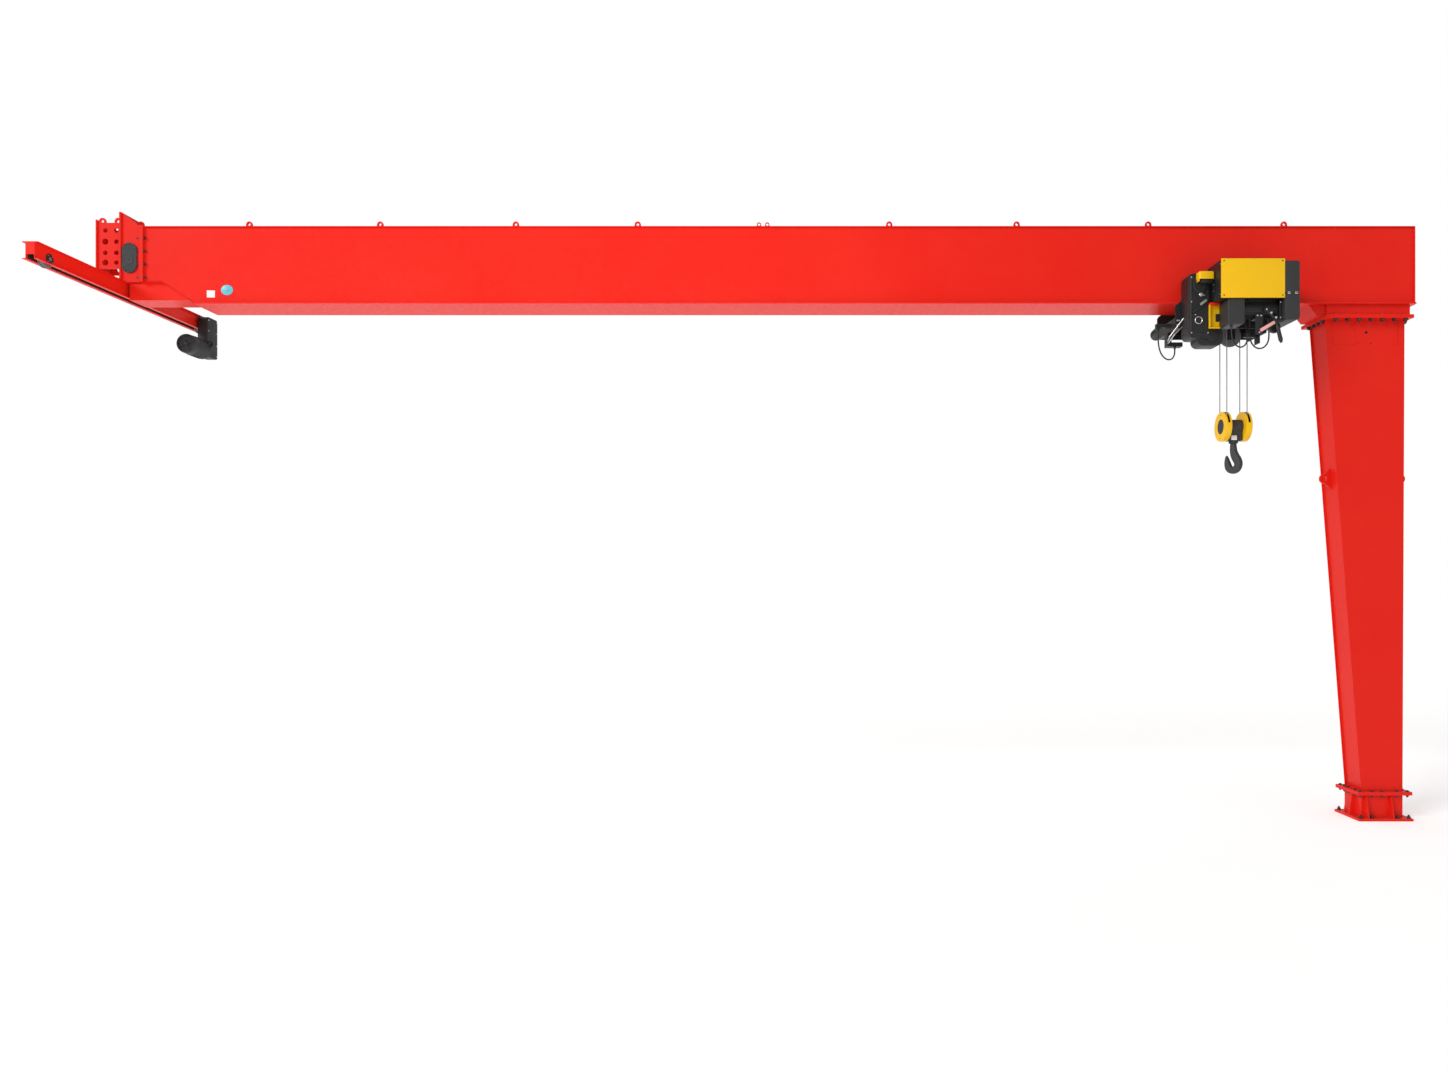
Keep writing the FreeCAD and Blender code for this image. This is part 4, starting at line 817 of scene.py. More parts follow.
class CRANE_OT_leg_details(bpy.types.Operator):
    """Weld seams, cover outlines and small holes near the head of the leg"""
    bl_idname = "crane.leg_details"
    bl_label = "Leg details"

    def execute(self, context):
        y = LEG_FRONT_Y
        low, high = LEG_BOTTOM_Z, LEG_TOP_Z
        beads = []
        for side in (-1, 1):
            inner, outer = side * (abs(y) - 0.011), side * abs(y)
            for foot, head in ((-0.271, -0.791), (0.271, 0.300)):
                beads.append(weld_bead((foot, inner, low + 0.004), (head, inner, high - 0.004)))
            for left, right, z in ((-0.294, 0.294, low + 0.003), (-0.814, 0.323, high - 0.003)):
                beads.append(weld_bead((left, outer, z), (right, outer, z)))
            for z in (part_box("pedestal")[1].z - 0.027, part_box("base_plate")[1].z + 0.003):
                beads.append(weld_bead((-0.296, side * 0.22, z), (0.296, side * 0.22, z)))
                beads.append(weld_bead((side * 0.296, -0.22, z), (side * 0.296, 0.22, z)))
        finished(joined(beads), "leg_welds", "red_weld", "frame", smooth=60)

        seams = []
        for x0, x1, z0 in ((-0.708, -0.378, 6.79), (0.166, 0.224, 6.79), (0.227, 0.307, 6.79)):
            frame_piece = plate((x0, y - 0.004, z0), (x1, y + 0.002, LEG_TOP_Z - 0.004))
            rounded(frame_piece, 0.0015, 2)
            shaped(frame_piece, lambda centre, normal: normal.y < -0.9,
                   lambda: bpy.ops.mesh.inset(thickness=0.006), pulled(0, 0.003, 0))
            seams.append(frame_piece)
        finished(joined(seams), "leg_cover_outlines", "red_enamel", "frame")

        # Small holes drawn as thin near-black discs: painted shade inside the holes.
        holes = []
        for x, z, r in ((-0.225, 6.975, 0.016), (-0.158, 6.816, 0.007), (-0.341, 6.826, 0.006)):
            holes.append(turned([(r * 1.25, -0.001), (r * 1.25, 0.0012), (r, 0.0016), (r * 0.9, 0.0002)],
                                pointing((x, y, z), (0, -1, 0)), sides=24))
        finished(joined(holes), "leg_small_holes", "dark_recess", "frame")
        return {"FINISHED"}


# ---------------------------------------------------------------- girder
TAPER_X, TAPER_END_X = -16.96, -17.45  # where the girder's underside starts and ends its rise
STUB_FOOT_Z = 7.70
LUG_XS = (-16.32, -14.42, -12.45, -10.68, -7.03, -5.18, -3.27, -1.30)
PAIRED_LUG_XS = (-8.92, -8.80)
OVAL_X, OVAL_Z = -16.515, 7.573


class CRANE_OT_girder_details(bpy.types.Operator):
    """Long weld seams, lug welds, the bare white plate and the blue oval plate"""
    bl_idname = "crane.girder_details"
    bl_label = "Girder details"

    def execute(self, context):
        web_low, web_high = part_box("girder_webs")
        foot, head = web_low.z + 0.003, web_high.z - 0.003
        beads = []
        for side in (-1, 1):
            y = side * (web_high.y + 0.001)
            for (x0, z0), (x1, z1) in (((TAPER_X, foot), (web_high.x, foot)),
                                       ((web_low.x, head), (web_high.x, head)),
                                       ((TAPER_X, foot), (TAPER_END_X, STUB_FOOT_Z)),
                                       ((TAPER_END_X, STUB_FOOT_Z), (web_low.x, STUB_FOOT_Z)),
                                       ((web_low.x + 0.002, STUB_FOOT_Z), (web_low.x + 0.002, web_high.z))):
                beads.append(weld_bead((x0, y, z0), (x1, y, z1)))
        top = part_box("girder_top_flange")[1].z
        for x in LUG_XS + PAIRED_LUG_XS:
            half = 0.045 if x in PAIRED_LUG_XS else 0.066
            for y in (-0.013, 0.013):
                beads.append(weld_bead((x - half, y, top + 0.002), (x + half, y, top + 0.002)))
        finished(joined(beads), "girder_welds", "red_weld", "frame", smooth=60)

        y = web_low.y
        white = plate((-16.802, y - 0.004, 7.466), (-16.687, y + 0.001, 7.566), 0.0015)
        finished(white, "bare_white_plate", "white_enamel_plate", "frame")
        blue = turned([(0.085, -0.001), (0.085, 0.0035), (0.082, 0.005)], sides=48)
        blue.data.transform(Matrix.Diagonal((1.0, 0.86, 1.0, 1.0)))
        blue.data.transform(pointing((OVAL_X, y, OVAL_Z), (0, -1, 0)))
        finished(blue, "blue_oval_plate", "blue_enamel_plate", "frame")
        stud = nut_with_stud(0.024, 0.012)
        stud.data.transform(pointing((OVAL_X, y - 0.005, OVAL_Z), (0, -1, 0)))
        finished(stud, "earth_stud", "zinc_plate", "frame")
        return {"FINISHED"}


# ---------------------------------------------------------------- left end and carriage
class CRANE_OT_left_end(bpy.types.Operator):
    """Splice bolts, hatch screws and the hubs of the hatch covers"""
    bl_idname = "crane.left_end"
    bl_label = "Left end"

    def execute(self, context):
        sizes = context.scene.crane_fasteners
        low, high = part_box("girder_splice_flange")
        stub_low = low.x - 0.028
        rows = sizes.splice_rows
        heights = [low.z + 0.062 + i * 0.187 for i in range(rows)]
        spots = [(s * (high.y - 0.0175), z) for z in heights for s in (-1, 1)]
        heads = repeated(hex_bolt(sizes.splice_flats),
                         [pointing((high.x, y, z), (1, 0, 0), z * 3) for y, z in spots])
        nuts = repeated(nut_with_stud(sizes.splice_flats, 0.018),
                        [pointing((stub_low, y, z), (-1, 0, 0), z * 4) for y, z in spots])
        washers = repeated(turned([(0.017, 0.0), (0.017, 0.012)], sides=20),
                           [pointing((high.x, y, z), (1, 0, 0)) for y, z in spots])
        heads.data.transform(Matrix.Translation((0.012, 0, 0)))
        finished(joined([heads, nuts, washers]), "splice_bolts", "black_bolt", "frame")

        low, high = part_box("stub_hatch_covers")
        centre_x, centre_z = (low.x + high.x) / 2, (low.z + high.z) / 2
        half_x, half_z = (high.x - low.x) / 2 - 0.016, (high.z - low.z) / 2 - 0.016
        places = []
        for side, y in ((-1, low.y), (1, high.y)):
            for i in range(10):
                angle = (i + 0.5) / 10 * math.tau
                x = centre_x + half_x * math.cos(angle)
                z = centre_z + half_x * math.sin(angle) + math.copysign(half_z - half_x, math.sin(angle))
                places.append(pointing((x, y, z), (0, side, 0), angle))
        finished(repeated(hex_bolt(sizes.small_flats), places), "hatch_screws", "black_bolt", "frame")
        dish = [(0.062, 0.0), (0.06, 0.004), (0.05, 0.006), (0.044, 0.003), (0.02, 0.004),
                (0.012, 0.012), (0.006, 0.014)]
        rims = [turned(dish, pointing((centre_x, y, centre_z - 0.03), (0, side, 0)), sides=32)
                for side, y in ((-1, low.y), (1, high.y))]
        finished(joined(rims), "hatch_hubs", "forged_black", "frame")
        return {"FINISHED"}


def barrel_fins(centre, axis, radius, length, count, height, thick):
    """Straight cooling fins round a motor's barrel."""
    fin = plate((radius - 0.002, -thick / 2, -length / 2), (radius + height, thick / 2, length / 2),
                thick * 0.3, 1)
    places = [pointing(centre, axis, i / count * math.tau) for i in range(count)]
    return repeated(fin, places)


def fan_cowl(centre, axis, radius, depth):
    """A pressed cowl over a motor's fan: a rim, concentric rings and four spokes."""
    here = pointing(centre, axis)
    shell = [(1, 0.0), (1, 0.55), (0.97, 0.85), (0.90, 1), (0.86, 1), (0.85, 0.7), (0.82, 0.6)]
    parts = [turned([(radius * r, depth * h) for r, h in shell], here, 48)]
    tip = Vector(centre) + Vector(axis).normalized() * depth * 0.92
    for share in (0.24, 0.38, 0.52, 0.66, 0.80):
        parts.append(ring(radius * share, radius * 0.022, tip, axis, 48, 8))
    spoke = plate((radius * 0.12, -0.004, -0.003), (radius * 0.86, 0.004, 0.003), 0.0012, 1)
    parts.append(repeated(spoke, [pointing(tip, axis, i * math.tau / 4 + 0.4) for i in range(4)]))
    parts.append(turned([(radius * 0.16, 0.0), (radius * 0.16, depth * 0.4), (radius * 0.12, depth * 0.48)],
                        pointing(Vector(centre) + Vector(axis).normalized() * depth * 0.55, axis), 24))
    return joined(parts)


class CRANE_OT_carriage_details(bpy.types.Operator):
    """Axle housings, drive motor fins and fan cowl of the end carriage"""
    bl_idname = "crane.carriage_details"
    bl_label = "Carriage details"

    def execute(self, context):
        low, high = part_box("carriage_wheel_near")
        wheel_z = (low.z + high.z) / 2
        middle_x = (low.x + high.x) / 2
        axle_y = abs((low.y + high.y) / 2)
        web = 0.058
        bolt_circle = 0.056
        profile = [(0.070, 0.0), (0.070, 0.006), (0.060, 0.009), (0.048, 0.011), (0.030, 0.0112)]
        housing = []
        bolts = []
        # the drive gearbox takes the place of the fourth housing
        for y, side in ((-axle_y, -1), (-axle_y, 1), (axle_y, -1)):
            x = middle_x + side * web
            housing.append(turned(profile, pointing((x, y, wheel_z), (side, 0, 0)), 40))
            for i in range(4):
                angle = math.tau * (i + 0.5) / 4
                place = (x + side * 0.0065, y + bolt_circle * math.cos(angle),
                         wheel_z + bolt_circle * math.sin(angle))
                bolts.append(pointing(place, (side, 0, 0), angle))
        finished(joined(housing), "axle_housings", "machine_paint", "frame")
        finished(repeated(hex_bolt(0.011), bolts), "axle_housing_bolts", "zinc_plate", "frame")

        low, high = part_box("drive_motor")
        centre = (low + high) / 2
        radius = (high.z - low.z) / 2
        length = high.y - low.y
        fins = barrel_fins(centre + Vector((0, 0.03, 0)), (0, 1, 0), radius, length * 0.7, 36, 0.006, 0.004)
        finished(fins, "drive_motor_fins", "machine_paint", "frame")
        cowl = fan_cowl((centre.x, low.y, centre.z), (0, -1, 0), radius, 0.06)
        finished(cowl, "drive_fan_cowl", "machine_paint", "frame")

        # Painted shade: a near-black sheet along the inner face of the web and under the top, where the
        # carriage's open underside is only in shade.
        web_low, web_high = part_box("carriage_webs")
        inner_x = middle_x - 0.05
        painted_shade_side = plate((inner_x - 0.0005, web_low.y + 0.03, web_low.z + 0.012),
                       (inner_x + 0.002, web_high.y - 0.03, web_high.z - 0.002), 0.0008, 1)
        painted_shade_roof = plate((inner_x + 0.002, web_low.y + 0.03, web_high.z - 0.004),
                     (middle_x + 0.0495, web_high.y - 0.03, web_high.z - 0.001), 0.0008, 1)
        finished(joined([painted_shade_side, painted_shade_roof]), "carriage_dark_lining", "dark_recess", "frame")

        low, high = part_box("drive_gearbox")
        lug_y, lug_z, lug_x = low.y, 7.205, high.x + 0.045
        lug = joined([plate((high.x - 0.06, lug_y - 0.024, lug_z - 0.055), (lug_x, lug_y, lug_z + 0.055)),
                      bar(0.055, (lug_x, lug_y - 0.024, lug_z), (lug_x, lug_y, lug_z), 40)])
        applied(lug, "REMESH", mode="SHARP", octree_depth=7, sharpness=1.0, use_remove_disconnected=False)
        hole = bar(0.021, (lug_x, lug_y - 0.05, lug_z), (lug_x, lug_y + 0.05, lug_z), 32)
        applied(lug, "BOOLEAN", operation="DIFFERENCE", object=hole, solver="EXACT")
        bpy.data.objects.remove(hole)
        finished(lug, "drive_lug", "machine_paint", "frame")
        spots = [(high.x, y, z) for y in (low.y + 0.035, high.y - 0.035)
                 for z in (low.z + 0.05, low.z + 0.22, high.z - 0.22, high.z - 0.05)]
        heads = repeated(hex_bolt(0.019), [pointing(spot, (1, 0, 0), spot[2]) for spot in spots])
        finished(heads, "drive_gearbox_bolts", "zinc_plate", "frame")
        return {"FINISHED"}


# ---------------------------------------------------------------- hoist housings
class CRANE_OT_housings(bpy.types.Operator):
    """Show the hoist's housings and the block's covers and crosshead with rounded edges"""
    bl_idname = "crane.housings"
    bl_label = "Rounded housings"

    def execute(self, context):
        for node, name, width, material, body in (
                ("gear_case", "gear_case_shell", 0.008, "machine_paint", "trolley"),
                ("control_cabinet", "cabinet_body", 0.003, "machine_paint", "trolley"),
                ("cabinet_cover", "cabinet_door", 0.003, "yellow_enamel", "trolley"),
                ("switch_box", "switch_box_shell", 0.010, "hood_plastic", "trolley"),
                ("motor_hood_upper", "upper_hood", 0.010, "hood_plastic", "trolley"),
                ("motor_hood_lower", "lower_hood", 0.010, "hood_plastic", "trolley"),
                ("counterweight", "counterweight_block", 0.008, "machine_paint", "trolley"),
                ("gear_guard", "folded_guard", 0.002, "yellow_enamel", "trolley"),
                ("drive_gearbox", "drive_gearbox_shell", 0.008, "machine_paint", "frame"),
                ("crosshead", "crosshead_body", 0.006, "forged_black", "hook_block")):
            softened(node, name, width, material, body)
        covers = softened("sheave_covers", "sheave_housings", 0.003, "yellow_enamel", "hook_block")
        covers.data.materials.append(bpy.data.materials["dark_recess"])
        low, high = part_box("sheave_covers")
        middle, rim = (low + high) / 2, (high.z - low.z) / 2
        centres = (low.x + 0.041, high.x - 0.041)
        # The faces inside the covers' recessed ends are painted near-black: painted shade in the recesses.
        for polygon in covers.data.polygons:
            place = polygon.center
            inward = min(abs(place.x - x) for x in centres)
            if inward < 0.0385 and math.hypot(place.y, place.z - middle.z) < rim - 0.003:
                polygon.material_index = 1
        return {"FINISHED"}


class CRANE_OT_cabinet_details(bpy.types.Operator):
    """Screws of the yellow cover, hood clips and side screws of the cabinet"""
    bl_idname = "crane.cabinet_details"
    bl_label = "Cabinet details"

    def execute(self, context):
        low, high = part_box("cabinet_cover")
        inset = 0.032
        places = [pointing((x, low.y, z), (0, -1, 0), x) for x in (low.x + inset, high.x - inset)
                  for z in (low.z + inset, high.z - inset)]
        finished(repeated(socket_screw(0.009), places), "cover_screws", "black_bolt", "trolley")
        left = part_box("control_cabinet")[0].x
        side = ((-0.93, 7.74), (-0.93, 7.33), (-0.70, 7.52), (-0.70, 7.43), (-0.54, 7.74), (-0.54, 7.33))
        finished(repeated(hex_bolt(0.016), [pointing((left, y, z), (-1, 0, 0), z) for y, z in side]),
                 "cabinet_side_screws", "zinc_plate", "trolley")

        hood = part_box("motor_hood_lower")
        split = hood[1].z
        clips = []
        screws = []
        for x in (hood[0].x + 0.052, hood[1].x - 0.05):
            for side, face in ((-1, hood[0].y), (1, hood[1].y)):
                outer = face + side * 0.006
                front, back = sorted((outer, face - side * 0.002))
                clips.append(plate((x - 0.017, front, split - 0.016),
                                   (x + 0.017, back, split + 0.016), 0.002))
                screws.append(pointing((x, outer, split), (0, side, 0)))
        finished(joined(clips), "hood_clips", "zinc_plate", "trolley")
        finished(repeated(socket_screw(0.007), screws), "hood_clip_screws", "black_bolt", "trolley")
        hinge = [bar(0.009, (low.x + 0.06 + i * 0.36, low.y + 0.012, high.z + 0.002),
                     (low.x + 0.12 + i * 0.36, low.y + 0.012, high.z + 0.002), 16) for i in range(3)]
        finished(joined(hinge), "cover_hinges", "black_bolt", "trolley")
        return {"FINISHED"}


class CRANE_OT_gear_case_details(bpy.types.Operator):
    """Flange ribs, holes, slot, ring and the yellow brake strap on the gear case"""
    bl_idname = "crane.gear_case_details"
    bl_label = "Gear case details"

    def execute(self, context):
        low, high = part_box("gear_case")
        front = low.y
        face = plate((-2.918, front - 0.010, 6.83), (-2.640, front + 0.002, 7.685), 0.004)
        shaped(face, lambda centre, normal: normal.y < -0.9,
               lambda: bpy.ops.mesh.inset(thickness=0.022), pulled(0, 0.004, 0))
        rib = plate((-2.905, front - 0.030, 7.205), (-2.655, front - 0.006, 7.235), 0.006)
        turn = Matrix.Translation((-2.78, 0, 7.22)) @ Matrix.Rotation(math.radians(-34), 4, "Y") \
            @ Matrix.Translation((2.78, 0, -7.22))
        rib.data.transform(turn)
        boss = turned([(0.105, 0.0), (0.10, 0.012), (0.07, 0.018), (0.062, 0.012), (0.03, 0.012)],
                      pointing((-2.78, front - 0.008, 7.52), (0, -1, 0)), 40)
        lower = turned([(0.085, 0.0), (0.08, 0.012), (0.05, 0.016)],
                       pointing((-2.60, front + 0.022, 6.83), (0, -1, 0)), 40)
        finished(joined([face, rib, boss, lower]), "gear_case_face", "machine_paint", "trolley")

        leaning = Matrix.Rotation(math.radians(-38), 4, "Y") @ Matrix.Rotation(math.radians(90), 4, "X")
        slot = slab(0.118, 0.034, 0.0165, 0.006,
                    Matrix.Translation((-2.727, front - 0.008, 7.292)) @ leaning)
        eye = turned([(0.026, 0), (0.026, 0.006), (0.021, 0.010), (0.012, 0.010)],
                     pointing((-2.759, front - 0.006, 7.401), (0, -1, 0)), 28)
        loop = ring(0.048, 0.006, (-2.796, front - 0.016, 7.042), (0, -1, 0), 48, 10)
        finished(joined([slot, eye, loop]), "gear_case_bright_parts", "zinc_plate", "trolley")
        spots = [(-2.895, 7.64), (-2.665, 7.64), (-2.895, 7.30), (-2.84, 7.12), (-2.895, 6.87),
                 (-2.665, 6.87), (-2.72, 7.39)]
        finished(repeated(hex_bolt(0.016),
                          [pointing((x, front - 0.010, z), (0, -1, 0), z) for x, z in spots]),
                 "gear_case_bolts", "zinc_plate", "trolley")

        low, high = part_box("brake_cover")
        strap = plate((low.x, low.y, low.z + 0.03), (high.x, high.y, high.z), 0.0)
        for opening in (lambda centre, normal: normal.z < -0.9, lambda centre, normal: normal.y > 0.9):
            shaped(strap, opening, lambda: bpy.ops.mesh.delete(type="FACE"))
        rounded(strap, 0.026, 5, 30)
        outward(strap)
        applied(strap, "SOLIDIFY", thickness=0.005, offset=-1.0)
        foot = plate((low.x + 0.004, low.y + 0.01, low.z), (low.x + 0.010, high.y - 0.01, low.z + 0.06),
                     0.002)
        strap = finished(joined([strap, foot]), "brake_strap", "yellow_enamel", "trolley")
        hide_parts("brake_cover")
        under = plate((low.x + 0.03, low.y + 0.02, low.z - 0.02),
                      (high.x - 0.01, high.y, low.z + 0.075), 0.008)
        finished(under, "brake_body", "machine_paint", "trolley")
        return {"FINISHED"}


class CRANE_OT_motor_details(bpy.types.Operator):
    """Motor fins, brackets, the pale tube and the lever's nuts"""
    bl_idname = "crane.motor_details"
    bl_label = "Motor details"

    def execute(self, context):
        centre = Vector((-2.02, -0.75, 7.155))
        fins = barrel_fins(centre, (1, 0, 0), 0.110, 0.44, 30, 0.010, 0.004)
        finished(fins, "hoist_motor_fins", "machine_paint", "trolley")
        parts = [plate((-2.095, -0.845, 6.80), (-1.985, -0.835, 7.10), 0.003),
                 plate((-2.095, -0.835, 7.02), (-1.985, -0.70, 7.03), 0.003),
                 plate((-1.790, -0.900, 6.96), (-1.756, -0.888, 7.268), 0.003),
                 bar(0.055, (-1.86, -0.84, 6.985), (-1.79, -0.84, 6.985), 32)]
        finished(joined(parts), "motor_brackets", "machine_paint", "trolley")
        disc = turned([(0.078, 0.0), (0.082, 0.006), (0.082, 0.040), (0.074, 0.050), (0.060, 0.050),
                       (0.055, 0.042), (0.030, 0.042), (0.026, 0.054), (0.012, 0.056)],
                      pointing((-1.824, -0.790, 6.905), (0, -1, 0)), 48)
        finished(disc, "brake_disc_cover", "machine_paint", "trolley")
        grip = turned([(0.019, 0.0), (0.027, 0.012), (0.029, 0.05), (0.026, 0.12), (0.0285, 0.20),
                       (0.026, 0.225), (0.014, 0.236)],
                      pointing((-1.8137, -0.880, 6.9237), (0.2357, 0, -0.9718)), 24)
        finished(grip, "lever_grip", "cable_sheath", "trolley")
        knobs = [turned([(0.016, 0.0), (0.017, 0.010), (0.010, 0.018)], pointing(place, (0, -1, 0)), 20)
                 for place in ((-1.835, -0.895, 7.02), (-1.900, -0.895, 7.085))]
        finished(joined(knobs), "lever_knobs", "zinc_plate", "trolley")
        runs = (((-2.925, -0.450, 7.120), (-3.090, -0.360, 6.880), (-3.004, -0.055, 6.880)),
                ((-2.925, -0.400, 7.010), (-3.040, -0.400, 6.900), (-3.000, -0.055, 6.850)))
        conduit = [bar(0.009, *ends, 16) for start, elbow, end in runs
                   for ends in ((start, elbow), (elbow, end))]
        deselect()
        for _, elbow, _ in runs:
            bpy.ops.mesh.primitive_ico_sphere_add(subdivisions=3, radius=0.0095, location=elbow)
            conduit.append(settle(bpy.context.object))
        finished(joined(conduit), "conduit_tubes", "zinc_plate", "trolley")
        guard_low, guard_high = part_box("gear_guard")
        # A near-black plate stands for the guard's square opening: its dark is painted shade.
        window = plate((-2.560, guard_low.y + 0.049, 7.02), (-2.470, guard_low.y + 0.056, 7.13), 0.006)
        finished(window, "guard_window", "dark_recess", "trolley")
        strip = plate((guard_low.x - 0.002, guard_low.y - 0.004, guard_high.z - 0.016),
                      (-2.518, guard_low.y + 0.056, guard_high.z + 0.014), 0.004)
        finished(strip, "guard_top_strip", "red_enamel", "trolley")
        tube = bar(0.024, (-2.035, -0.875, 6.850), (-1.85, -0.875, 6.958), 28)
        rounded(tube, 0.003, 2, 50)
        finished(tube, "pale_tube", "pink_hose", "trolley")
        nuts = [pointing(place, (0, -1, 0)) for place in (
            (-1.965, -0.900, 7.13), (-2.065, -0.845, 7.06), (-2.015, -0.845, 7.06), (-2.04, -0.845, 6.83),
            (-1.773, -0.900, 7.23), (-1.773, -0.900, 7.02))]
        finished(repeated(hex_bolt(0.019), nuts), "bracket_nuts", "zinc_plate", "trolley")
        return {"FINISHED"}


# ---------------------------------------------------------------- ropes
LEFT_FALL_X, RIGHT_FALL_X = -2.177, -1.885
HOOK_AXIS_X = -2.031


class CRANE_OT_ropes(bpy.types.Operator):
    """The twisted falls and the turns of rope on the drum"""
    bl_idname = "crane.ropes"
    bl_label = "Ropes"

    def execute(self, context):
        ropes = context.scene.crane_ropes
        radius = ropes.rope_radius
        strand = radius * 0.345
        bottom, top = 5.66, 7.0
        falls = []
        for x, y, end in ((LEFT_FALL_X, -0.12, 7.13), (RIGHT_FALL_X, -0.12, 6.925),
                          (LEFT_FALL_X, 0.12, top), (RIGHT_FALL_X, 0.12, top)):
            length = end - bottom
            turns = max(1, round(length / ropes.lay_length))
            circles = []
            for i in range(ropes.strands):
                angle = i / ropes.strands * math.tau
                deselect()
                bpy.ops.mesh.primitive_circle_add(vertices=7, radius=strand, location=(
                    (radius - strand) * math.cos(angle), (radius - strand) * math.sin(angle), 0))
                circles.append(settle(bpy.context.object))
            fall = applied(joined(circles), "SCREW", axis="Z", screw_offset=length / turns, iterations=turns,
                           steps=12, render_steps=12, use_normal_calculate=True)
            core = bar(radius * 0.55, (0, 0, 0), (0, 0, length), 8)
            fall = joined([fall, core])
            fall.data.transform(Matrix.Translation((x, y, bottom)))
            falls.append(fall)
        rope = joined(falls)
        outward(rope)
        rope.name = rope.data.name = "twisted_falls"
        rope.data.materials.clear()
        rope.data.materials.append(bpy.data.materials["wire_rope_steel"])
        bpy.ops.object.shade_smooth_by_angle(angle=math.radians(60))
        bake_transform(rope, "trolley", "hook_block", start=(HOOK_AXIS_X, 0, top), end=(HOOK_AXIS_X, 0, bottom))
        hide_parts("rope_falls")

        low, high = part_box("rope_drum")
        middle_y, middle_z = (low.y + high.y) / 2, (low.z + high.z) / 2
        drum_radius = 0.1
        deselect()
        bpy.ops.mesh.primitive_circle_add(vertices=10, radius=radius, rotation=(math.radians(90), 0, 0),
                                          location=(drum_radius + radius + 0.0003, 0, 0))
        coil = settle(bpy.context.object)
        turns = 22
        applied(coil, "SCREW", axis="Z", screw_offset=ropes.drum_pitch, iterations=turns, steps=40,
                render_steps=40, use_normal_calculate=True)
        coil.data.transform(pointing((LEFT_FALL_X - turns * ropes.drum_pitch, middle_y, middle_z),
                                     (1, 0, 0)))
        outward(coil)
        finished(coil, "drum_rope", "wire_rope_steel", "trolley")
        return {"FINISHED"}


# ---------------------------------------------------------------- hook block
# centre line of the hook, seen square on: across, height, turn of the section in degrees,
# half height and half thickness of the section
HOOK_STATIONS = (
    (0.0000, 5.380, 0, 0.039, 0.039), (0.0020, 5.320, 4, 0.043, 0.042), (0.0110, 5.270, 18, 0.048, 0.046),
    (0.0310, 5.222, 30, 0.055, 0.047), (0.0580, 5.180, 34, 0.058, 0.047), (0.0770, 5.145, 22, 0.055, 0.047),
    (0.0850, 5.105, 0, 0.0530, 0.046), (0.0736, 5.063, -30, 0.0530, 0.046),
    (0.0425, 5.031, -60, 0.0535, 0.046), (0.0000, 5.0200, -90, 0.0535, 0.046),
    (-0.0425, 5.031, -120, 0.0520, 0.046),
    (-0.0736, 5.063, -150, 0.0500, 0.045), (-0.0860, 5.105, -180, 0.0460, 0.042),
    (-0.0940, 5.150, -184, 0.0380, 0.036), (-0.1010, 5.195, -186, 0.0270, 0.029),
    (-0.1050, 5.232, -186, 0.0150, 0.019), (-0.1065, 5.248, -186, 0.0070, 0.009))
HOOK_TURN = math.radians(-58)


def forged_hook(top):
    """A point hook: one rounded section drawn down the shank and round the bowl, thin at its tip."""
    deselect()
    bpy.ops.mesh.primitive_plane_add(size=0.070, location=(0, 0, top))
    hook = settle(bpy.context.object)
    bpy.ops.object.mode_set(mode="EDIT")
    bpy.ops.mesh.select_all(action="SELECT")
    bpy.ops.mesh.bevel(affect="VERTICES", offset=0.019, segments=3)
    across, height, turn, half_height, half_thick = 0.0, top, 0.0, 0.035, 0.035
    for station in HOOK_STATIONS:
        pulled(station[0] - across, 0, station[1] - height)()
        across, height = station[0], station[1]
        centre = (across, 0, height)
        bpy.ops.transform.rotate(value=math.radians(station[2] - turn), orient_axis="Y",
                                 center_override=centre)
        bpy.ops.transform.resize(value=(station[3] / half_height, station[4] / half_thick,
                                        station[3] / half_height), center_override=centre)
        turn, half_height, half_thick = station[2:]
    outward(hook)
    applied(hook, "SUBSURF", levels=1, render_levels=1)
    hook.data.transform(Matrix.Translation((HOOK_AXIS_X, 0, 0)) @ Matrix.Rotation(HOOK_TURN, 4, "Z"))
    return hook


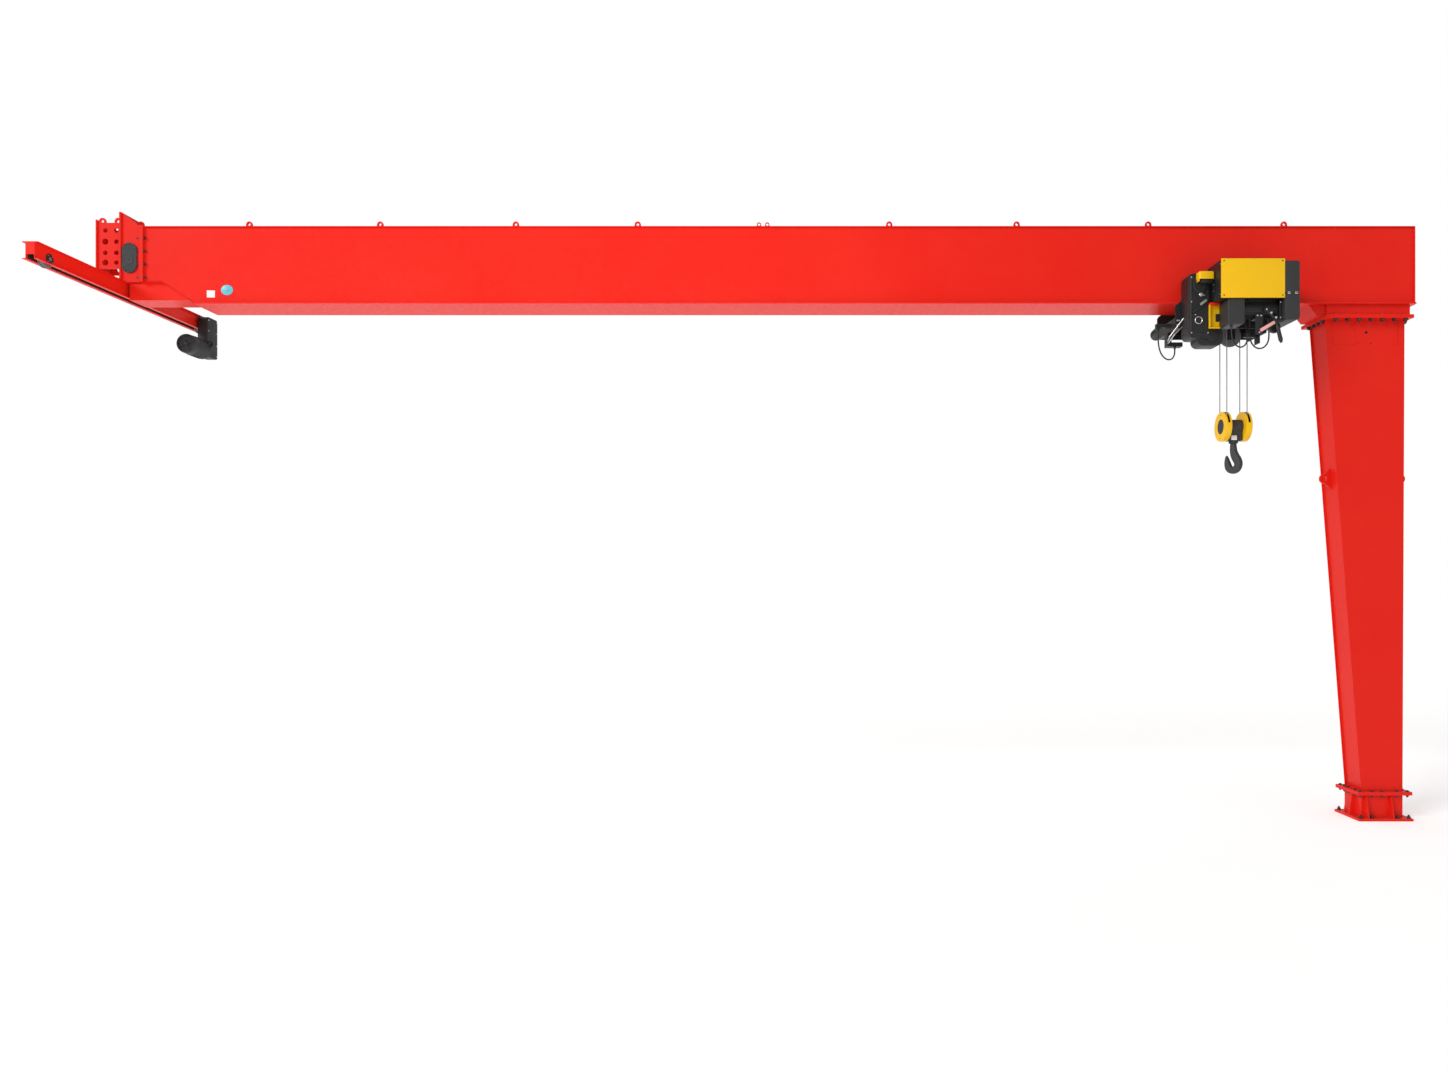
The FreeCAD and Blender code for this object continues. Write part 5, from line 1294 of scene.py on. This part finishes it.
class CRANE_OT_hook_block(bpy.types.Operator):
    """Cover screws, hub rings, the bare plate, the forged hook and its collar"""
    bl_idname = "crane.hook_block"
    bl_label = "Hook block"

    def execute(self, context):
        low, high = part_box("sheave_covers")
        centre_z = (low.z + high.z) / 2
        radius = (high.z - low.z) / 2
        screws = []
        hubs = []
        for side, x in ((-1, low.x), (1, high.x)):
            for angle in (93, 273):
                turn = math.radians(angle)
                y, z = 0.78 * radius * math.cos(turn), centre_z + 0.78 * radius * math.sin(turn)
                screws.append(pointing((x, y, z), (side, 0, 0), turn))
            hubs.append(turned([(0.098, -0.001), (0.098, 0.0025), (0.09, 0.004), (0.052, 0.004),
                                (0.048, 0.0075), (0.03, 0.0085), (0.018, 0.006)],
                               pointing((x - side * 0.004, 0, centre_z), (side, 0, 0)), 48))
        finished(repeated(socket_screw(0.006), screws), "cover_rim_screws", "black_bolt", "hook_block")
        finished(joined(hubs), "hub_discs", "forged_black", "hook_block")

        bare = plate((-2.093, -0.0780, 5.454), (-2.013, -0.0745, 5.520), 0.001)
        finished(bare, "bare_block_plate", "white_enamel_plate", "hook_block")
        bolt_x, face_y = -1.985, -0.075
        pins = [pointing((bolt_x, face_y, z), (0, -1, 0), bolt_x) for z in (5.512, 5.470)]
        finished(repeated(hex_bolt(0.016), pins), "crosshead_bolts", "black_bolt", "hook_block")

        hook_top = 5.655 - 0.205 - 0.006
        finished(forged_hook(hook_top), "forged_hook", "forged_black", "hook", smooth=60)
        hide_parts("hook")
        collar = turned([(0.060, hook_top - 0.030), (0.064, hook_top - 0.026), (0.064, hook_top - 0.006),
                         (0.058, hook_top - 0.001)], Matrix.Translation((HOOK_AXIS_X, 0, 0)), 36)
        finished(collar, "hook_collar", "forged_black", "hook")
        return {"FINISHED"}


class CRANE_OT_trolley_details(bpy.types.Operator):
    """Axle nuts, beam bolts, travel drive fins and counterweight eye of the trolley"""
    bl_idname = "crane.trolley_details"
    bl_label = "Trolley details"

    def execute(self, context):
        outer = 0.362
        places = []
        for x in (-2.83, -1.79):
            for side in (-1, 1):
                places.append(pointing((x, side * outer, 7.4503), (0, side, 0), x))
        nuts = repeated(nut_with_stud(0.044, 0.012), places)
        spots = [(x, z) for x in (-2.98, -2.955, -1.70, -1.665) for z in (7.045, 7.11)]
        heads = repeated(hex_bolt(0.022), [pointing((x, side * outer, z), (0, side, 0), z)
                                           for x, z in spots for side in (-1, 1)])
        finished(joined([nuts, heads]), "trolley_nuts", "zinc_plate", "trolley")

        low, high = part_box("travel_drive")
        centre = Vector(((low.x + high.x) / 2, high.y - 0.14, 7.18))
        fins = barrel_fins(centre, (0, 1, 0), 0.082, 0.22, 28, 0.008, 0.003)
        finished(fins, "travel_motor_fins", "machine_paint", "trolley")
        cowl = fan_cowl((centre.x, high.y, centre.z), (0, 1, 0), 0.084, 0.03)
        finished(cowl, "travel_fan_cowl", "machine_paint", "trolley")

        low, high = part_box("counterweight")
        eyes = [ring(0.030, 0.009, (x, (low.y + high.y) / 2, high.z + 0.030), (1, 0, 0), 32, 12)
                for x in (low.x + 0.15, high.x - 0.15)]
        finished(joined(eyes), "counterweight_eyes", "zinc_plate", "trolley")
        spots = [(x, z) for x in (low.x + 0.06, high.x - 0.06) for z in (low.z + 0.06, high.z - 0.06)]
        finished(repeated(hex_bolt(0.030), [pointing((x, high.y, z), (0, 1, 0), x) for x, z in spots]),
                 "counterweight_bolts", "black_bolt", "trolley")
        return {"FINISHED"}


# ---------------------------------------------------------------- panel, registration and the run
STEPS = (CRANE_OT_solid_finishes, CRANE_OT_stage, CRANE_OT_cable_loops, CRANE_OT_foot_bolts,
         CRANE_OT_head_bolts, CRANE_OT_leg_details, CRANE_OT_girder_details, CRANE_OT_left_end,
         CRANE_OT_carriage_details,
         CRANE_OT_housings, CRANE_OT_cabinet_details, CRANE_OT_gear_case_details, CRANE_OT_motor_details,
         CRANE_OT_ropes, CRANE_OT_hook_block, CRANE_OT_trolley_details)


class CRANE_PT_panel(bpy.types.Panel):
    """Lists the crane's pieces in the sidebar"""
    bl_idname = "CRANE_PT_panel"
    bl_label = "Semi-gantry crane"
    bl_space_type = "VIEW_3D"
    bl_region_type = "UI"
    bl_category = "Crane"

    def draw(self, context):
        for step in STEPS:
            self.layout.operator(step.bl_idname, text=step.bl_label)


SETTINGS = {"crane_fasteners": CraneFasteners, "crane_ropes": CraneRopes, "crane_finish": CraneFinish,
            "crane_stage": CraneStage}


def register():
    for group in SETTINGS.values():
        bpy.utils.register_class(group)
    for step in STEPS + (CRANE_PT_panel,):
        bpy.utils.register_class(step)
    for name, group in SETTINGS.items():
        setattr(bpy.types.Scene, name, PointerProperty(type=group))


def unregister():
    for name in SETTINGS:
        delattr(bpy.types.Scene, name)
    for step in reversed(STEPS + (CRANE_PT_panel,)):
        bpy.utils.unregister_class(step)
    for group in reversed(list(SETTINGS.values())):
        bpy.utils.unregister_class(group)


def main():
    register()
    for step in STEPS:
        family, name = step.bl_idname.split(".")
        result = getattr(getattr(bpy.ops, family), name)()
        if "FINISHED" not in result:
            raise RuntimeError(step.bl_label + " did not finish")
    deselect()


if __name__ == "__main__":
    main()
